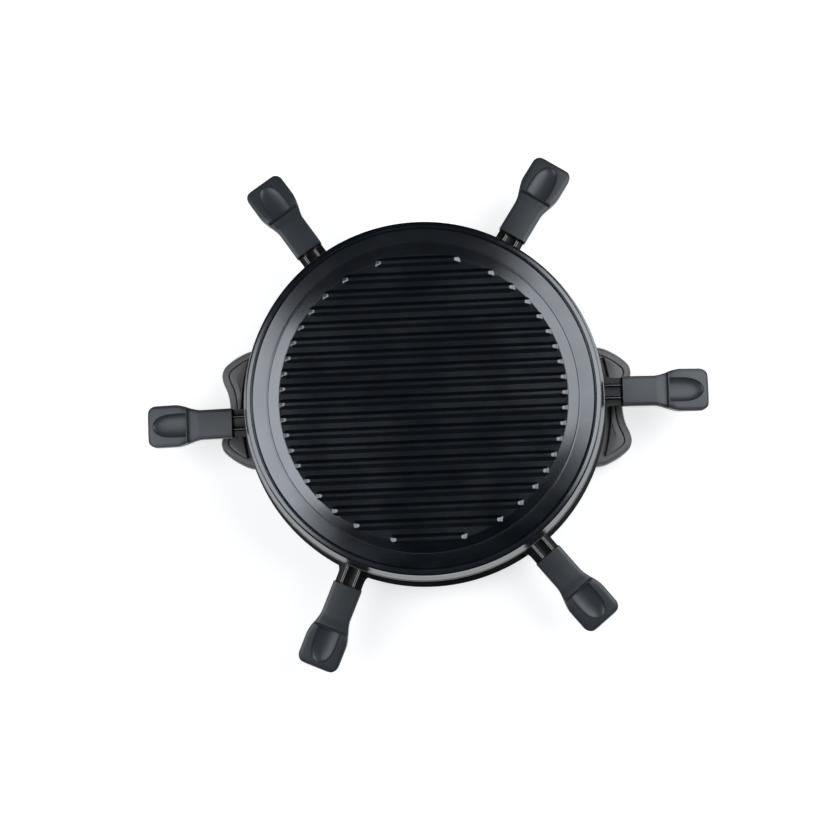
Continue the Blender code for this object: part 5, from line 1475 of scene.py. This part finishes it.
    def tang_mesh(self) -> Mesh:
        """Return the tang with its two pressed ribs and its flares."""
        sections = []
        for distance in (*self.tang_stations, self.tang_length,
                         self.tang_length + self.tang_insert):
            past = max(distance, 0.0)
            share = 1.0 - min(past / (self.flare_share * self.tang_length), 1.0)
            half = self.tang_half + self.tang_flare * share**self.flare_power
            ribs = [point for middle in (-self.rib_offset, self.rib_offset)
                    for point in self.pressed_rib(distance, middle, 8)]
            top = [(-half, 0.0), *ribs, (half, 0.0)]
            x, z = self.tang_point(past)
            x += min(distance, 0.0)
            sections.append([(x, y, z + lift) for y, lift in top]
                            + [(x, y, z + lift - self.sheet) for y, lift in reversed(top)])
        return Shape().loft(sections, caps=True).mesh("pan_tang")

    def bead_highlight_mesh(self) -> Mesh:
        """Return a thin sheet over the tang's two pressed ribs in a lighter, glossier finish: a
        painted highlight along them.
        """
        shape = Shape()
        for middle in (-self.rib_offset, self.rib_offset):
            sections = []
            for distance in (*self.bead_highlight_stations, self.tang_length + 0.001):
                x, z = self.tang_point(distance)
                ribs = self.pressed_rib(distance, middle, 12)
                low = [(x, middle + t * self.rib_half, z - GAP) for t in (1.0, -1.0)]
                sections.append([(x, y, z + lift + self.bead_highlight_lift) for y, lift in ribs] + low)
            shape.loft(sections, caps=True)
        return shape.mesh("tang_beads")

    def handle_section(self, along: float, half: float, top: float,
                       bottom: float) -> list[Corner]:
        """Return the rounded cross-section of the handle at a distance along it."""
        ring = []
        x = self.tang_length + along
        rim = min(self.rim_width, half * 0.9)
        for sign_y, sign_z, start in ((1, 1, 0.0), (-1, 1, 90.0), (-1, -1, 180.0), (1, -1, 270.0)):
            radius = min(self.edge if sign_z > 0 else self.under_edge, half * 0.9)
            level = top - self.rim_fall if sign_z > 0 else -bottom
            corner = []
            for k in range(7):
                angle = math.radians(start + 90.0 * k / 6)
                y = sign_y * (half - radius) + radius * math.cos(angle)
                z = level - sign_z * radius + radius * math.sin(angle)
                corner.append((x, y, z))
            if sign_z > 0:
                inner = [(x, sign_y * (half - rim * 0.8), top - 0.2 * self.rim_fall),
                         (x, sign_y * (half - rim * 1.1), top)]
                corner = corner + inner if sign_y > 0 else list(reversed(inner)) + corner
            ring.extend(corner)
        return ring

    def handle_top(self, share: float) -> float:
        """Return the height of the handle's top at a share of its length."""
        if share <= self.dip_end:
            fall = smooth_step((share - self.dip_start) / (self.dip_end - self.dip_start))
            return self.neck_top - (self.neck_top - self.neck_dip) * fall
        if share <= self.crest_share:
            t = (share - self.dip_end) / (self.crest_share - self.dip_end)
            return self.neck_dip + (self.crest_top - self.neck_dip) * t**1.8
        drop = (share - self.crest_share) / (1.0 - self.crest_share)
        return self.crest_top - (self.crest_top - self.head_end_top) * drop

    def behind_crest(self, past: float) -> float:
        """Return how far the top is lowered at a share of the length behind the crest."""
        if past < 0.0:
            return 0.0
        if past < (self.ridge_span + self.ledge_start) / 2:
            return self.ridge_fall * past / self.ridge_span
        return max(0.0, self.ledge_drop * (1.0 - (past - self.ledge_start) / self.ledge_span))

    def handle_mesh(self) -> Mesh:
        """Return the handle with its crest, thumb scoop, slot and screw recess."""
        length, crest = self.grip_length, self.crest_share
        shares = [0.0, 0.006, 0.12, 0.24, 0.33, *(0.35 + 0.008 * k for k in range(19)),
                  0.500, 0.507, self.dip_end, 0.517, 0.520, 0.523, crest, crest + 0.0045,
                  crest + 0.009, crest + self.ridge_span, crest + self.ledge_start, crest + 0.024,
                  *(0.56 + 0.012 * k for k in range(12)), 0.75, 0.82,
                  1.0 - self.end_corner / length]
        sections = []
        for share in shares:
            wide = smooth_step((share - self.widen_start) / self.widen_span)
            half = self.neck_half + (self.head_half - self.neck_half) * wide
            top = self.handle_top(share) - self.behind_crest(share - crest)
            inset = 0.0004 if share == 0.0 else 0.0
            sections.append(self.handle_section(length * share, half - inset, top - inset,
                                                self.bottom - inset))
        for k in range(1, 13):
            angle = math.radians(self.end_turn_deg * k)
            along = length - self.end_corner * (1.0 - math.sin(angle))
            half = self.head_half - self.end_corner * (1.0 - math.cos(angle))
            droop = self.end_droop * smooth_step((k - 5) / 7)
            round_off = self.bevel_fall * max(0.0, along - length + self.bevel)
            top = self.handle_top(along / length) - round_off
            sections.append(self.handle_section(along, half, top - droop, self.bottom - droop))
        body = Shape().loft(sections, caps=True).mesh("pan_handle")
        recess = drum("screw_recess", self.recess_radius, self.recess_low, self.recess_high, 32,
                      Matrix.Translation((self.screw_distance, 0.0, 0.0)))
        return combined(body, [self.scoop_mesh(), self.slot_mesh(), recess])

    def scoop_mesh(self) -> Mesh:
        """Return half an ellipsoid that presses the thumb scoop."""
        start = self.tang_length + self.grip_length * self.crest_share + self.ridge_width
        slope = math.atan2(self.crest_top - self.head_end_top,
                           self.grip_length * (1.0 - self.crest_share))
        shape = Shape()
        matrix = (
            Matrix.Translation((start, 0.0, self.crest_top))
            @ Matrix.Rotation(slope, 4, "Y")
            @ Matrix.Translation((self.scoop_centre, 0.0, 0.0))
            @ Matrix.Diagonal((self.scoop_length, self.scoop_half, self.scoop_depth, 1.0))
            @ Matrix.Rotation(math.pi / 2, 4, "Y")
        )
        bmesh.ops.create_uvsphere(shape.bm, u_segments=56, v_segments=36, radius=1.0)
        for vert in shape.bm.verts:
            blunt = abs(vert.co.z)**self.scoop_bluntness
            vert.co.z = math.copysign(blunt, vert.co.z)
        shape.bm.transform(matrix)
        everything = shape.bm.verts[:] + shape.bm.edges[:] + shape.bm.faces[:]
        cut = bmesh.ops.bisect_plane(shape.bm, geom=everything, dist=MERGE,
                                     plane_co=(start, 0.0, 0.0), plane_no=(1.0, 0.0, 0.0),
                                     clear_inner=True)["geom_cut"]
        rim = [item for item in cut if isinstance(item, bmesh.types.BMEdge)]
        bmesh.ops.holes_fill(shape.bm, edges=rim, sides=0)
        return shape.mesh("thumb_scoop")

    def slot_mesh(self) -> Mesh:
        """Return the slot that takes the tang."""
        half, start = self.tang_half + GAP, self.tang_length
        return Shape().block(
            (start - 0.002, -half, -self.sheet / 2 - GAP),
            (start + self.tang_insert + GAP, half, self.sheet / 2 + self.rib_height + GAP),
        ).mesh("tang_slot")

    @property
    def screw_distance(self) -> float:
        """Return how far from the rim the screw lies."""
        return self.tang_length + self.grip_length * self.screw_share

    def build(self) -> None:
        """Make all pans."""
        dish = combined(self.dish_mesh(), [self.tang_mesh()], "UNION")
        handle = self.handle_mesh()
        bead_highlights = self.bead_highlight_mesh()
        screw_z = Base().screw_height + GAP - self.bottom
        place = Matrix.Translation((self.screw_distance, 0.0, screw_z))
        screw = transformed(Base().screw_template(), place)
        droop = (
            Matrix.Translation((self.rim_x, 0.0, self.tang_z - self.sheet / 2))
            @ Matrix.Rotation(self.droop, 4, "Y")
        )
        for name, yaw_deg, pull, side in self.rest_shares:
            turn = Matrix.Rotation(math.radians(yaw_deg), 4, "Z")
            slide = turn @ Matrix.Translation((self.pull * pull, self.side * side, 0.0))
            for piece, part, matrix, finish in (
                (f"pan_{name}_fine", dish, slide, PAN_COAT),
                (f"pan_handle_{name}_fine", handle, slide @ droop, GRIP_PLASTIC),
                (f"pan_handle_screw_{name}_fine", screw, slide @ droop, PLAIN_STEEL),
                (f"pan_{name}_tang_beads", bead_highlights, slide, TANG_BEAD_HIGHLIGHT),
            ):
                add_piece(piece, transformed(part, matrix), finish, f"pan_{name}_set")


# The studio


@dataclass
class Softbox:
    """A broad lamp that faces the grill, with an even glow over its face."""

    name: str
    azimuth_deg: float
    elevation_deg: float
    distance: float
    width: float
    height: float
    glow: float
    tint: Color = (0.96, 1.0, 1.06)
    aim_height: float = 0.08

    def build(self) -> None:
        """Hang the lamp."""
        data = bpy.data.lights.new(self.name, "AREA")
        data.shape = "ELLIPSE"
        data.size, data.size_y = self.width, self.height
        data.color = self.tint
        data.energy = self.glow * math.pi**2 / 4 * self.width * self.height
        lamp = linked(self.name, data)
        azimuth, elevation = math.radians(self.azimuth_deg), math.radians(self.elevation_deg)
        aim = Vector((0.0, 0.0, self.aim_height))
        lamp.location = aim + polar(self.distance * math.cos(elevation), azimuth,
                                    self.distance * math.sin(elevation))
        lamp.rotation_euler = (aim - lamp.location).to_track_quat("-Z", "Y").to_euler()
        lamp.visible_camera = False
        LOG.info("lamp %s", self.name)


@dataclass
class Studio:
    """Floor, surroundings, lamps and the camera."""

    eye: Corner = (0.02244, -0.17018, 1.49944)
    right: Corner = (0.99341, -0.10897, -0.03536)
    up: Corner = (0.11223, 0.98767, 0.10917)
    forward: Corner = (-0.02303, 0.11242, -0.99339)
    lens: float = 72.379
    sensor: float = 36.0
    clip: tuple[float, float] = (0.05, 30.0)
    floor_half: float = 3.0
    sky_stops: tuple[tuple[float, float], ...] = (
        (0.0, 0.20), (0.08, 0.16), (0.20, 0.06), (0.45, 0.022), (0.70, 0.022), (0.86, 0.05),
        (0.95, 0.080), (1.0, 0.026),
    )
    sky_tint: Color = (0.96, 0.98, 1.0)
    front_to_back: tuple[float, float] = (-0.10, 0.85)
    front_share: float = 1.06
    back_share: float = 0.05
    floor_levels: tuple[float, float] = (0.79, 0.81)
    glow_reach: tuple[float, float] = (0.25, 3.25)
    floor_glow: float = 0.64
    floor_glow_far: float = 1.0
    backdrop_top: float = 0.10

    def camera(self) -> None:
        """Set the camera at the photograph's viewing angle."""
        data = bpy.data.cameras.new("camera")
        data.lens, data.sensor_width = self.lens, self.sensor
        data.clip_start, data.clip_end = self.clip
        camera = linked("camera", data)
        rows = Matrix((self.right, self.up, [-value for value in self.forward])).transposed()
        camera.matrix_world = Matrix.Translation(self.eye) @ rows.to_4x4()
        bpy.context.scene.camera = camera

    def floor(self) -> None:
        """Lay the pale floor, which the camera looks through from below."""
        half = self.floor_half
        mesh = bpy.data.meshes.new("floor")
        mesh.from_pydata([(-half, -half, 0), (half, -half, 0), (half, half, 0), (-half, half, 0)],
                         [], [(0, 1, 2, 3)])
        shader = Shader(bpy.data.materials.new("pale_floor"))
        place = shader.coordinates["Object"]
        cloud = shader.spread(shader.noise(place, 3.0), 0.0, 1.0)
        darker, paler = ((level,) * 3 for level in self.floor_levels)
        plain = shader.node("ShaderNodeBsdfDiffuse", {"Color": shader.mix(cloud, darker, paler)})
        reach = shader.node("ShaderNodeVectorMath", {0: place}, operation="LENGTH")
        strength = shader.spread(reach.outputs["Value"], self.floor_glow, self.floor_glow_far,
                                 *self.glow_reach)
        glow = shader.node("ShaderNodeEmission", {"Strength": strength})
        bright = shader.node("ShaderNodeAddShader", {0: plain.outputs[0], 1: glow.outputs[0]})
        by_camera = shader.rays["Is Camera Ray"]
        seen = shader.math("MAXIMUM", by_camera, shader.mirrored())
        below = shader.math(
            "MULTIPLY", shader.node("ShaderNodeNewGeometry").outputs["Backfacing"], by_camera
        )
        clear = shader.node("ShaderNodeBsdfTransparent")
        shader.end_in(shader.blend(below, shader.blend(seen, plain, bright), clear))
        mesh.materials.append(shader.owner)
        linked("floor", mesh)

    def surroundings(self) -> None:
        """Make the room: a white backdrop, dark overhead in reflections, paler in front."""
        world = bpy.data.worlds.new("room")
        bpy.context.scene.world = world
        shader = Shader(world)
        _, y, z = shader.split(shader.coordinates["Generated"])
        height = shader.node("ShaderNodeValToRGB", {0: z})
        stops = height.color_ramp
        stops.interpolation = "EASE"
        for i, (place_z, level) in enumerate(self.sky_stops):
            stop = stops.elements[i] if i < 2 else stops.elements.new(place_z)
            stop.position = place_z
            stop.color = (level, level, level, 1.0)
        facing = shader.spread(y, self.front_share, self.back_share, *self.front_to_back)
        strength = shader.math("MULTIPLY", height.outputs[0], facing)
        around = shader.node("ShaderNodeBackground", {0: self.sky_tint, 1: strength})
        white = shader.node("ShaderNodeBackground", {0: (1.0, 1.0, 1.0)})
        low_down = shader.spread(z, 0.0, 1.0, self.backdrop_top, self.backdrop_top / 2,
                                 smooth=False)
        mirrored = shader.math("MULTIPLY", shader.mirrored(), low_down)
        seen = shader.math("MAXIMUM", shader.rays["Is Camera Ray"], mirrored)
        shader.end_in(shader.blend(seen, around, white))

    def build(self) -> None:
        """Set up the studio."""
        self.camera()
        self.floor()
        self.surroundings()
        for box in (
            Softbox("softbox_right", 14.0, 53.0, 1.40, 1.18, 1.12, 3.6),
            Softbox("softbox_left", 179.0, 53.0, 1.40, 1.02, 1.12, 3.1),
        ):
            box.build()
        bpy.context.scene.view_settings.view_transform = "Standard"


def main() -> None:
    """Build the studio and each sub-assembly in order, and note the sizes."""
    logging.basicConfig(level=logging.INFO, format="%(message)s")
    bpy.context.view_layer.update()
    Studio().build()
    for assembly in (GrillPlate(), HeaterRing(), Posts(), Base(), SideHandles(), Controls(),
                     PanSet()):
        assembly.build()
        LOG.info("%s done", type(assembly).__name__)


if __name__ == "__main__":
    main()
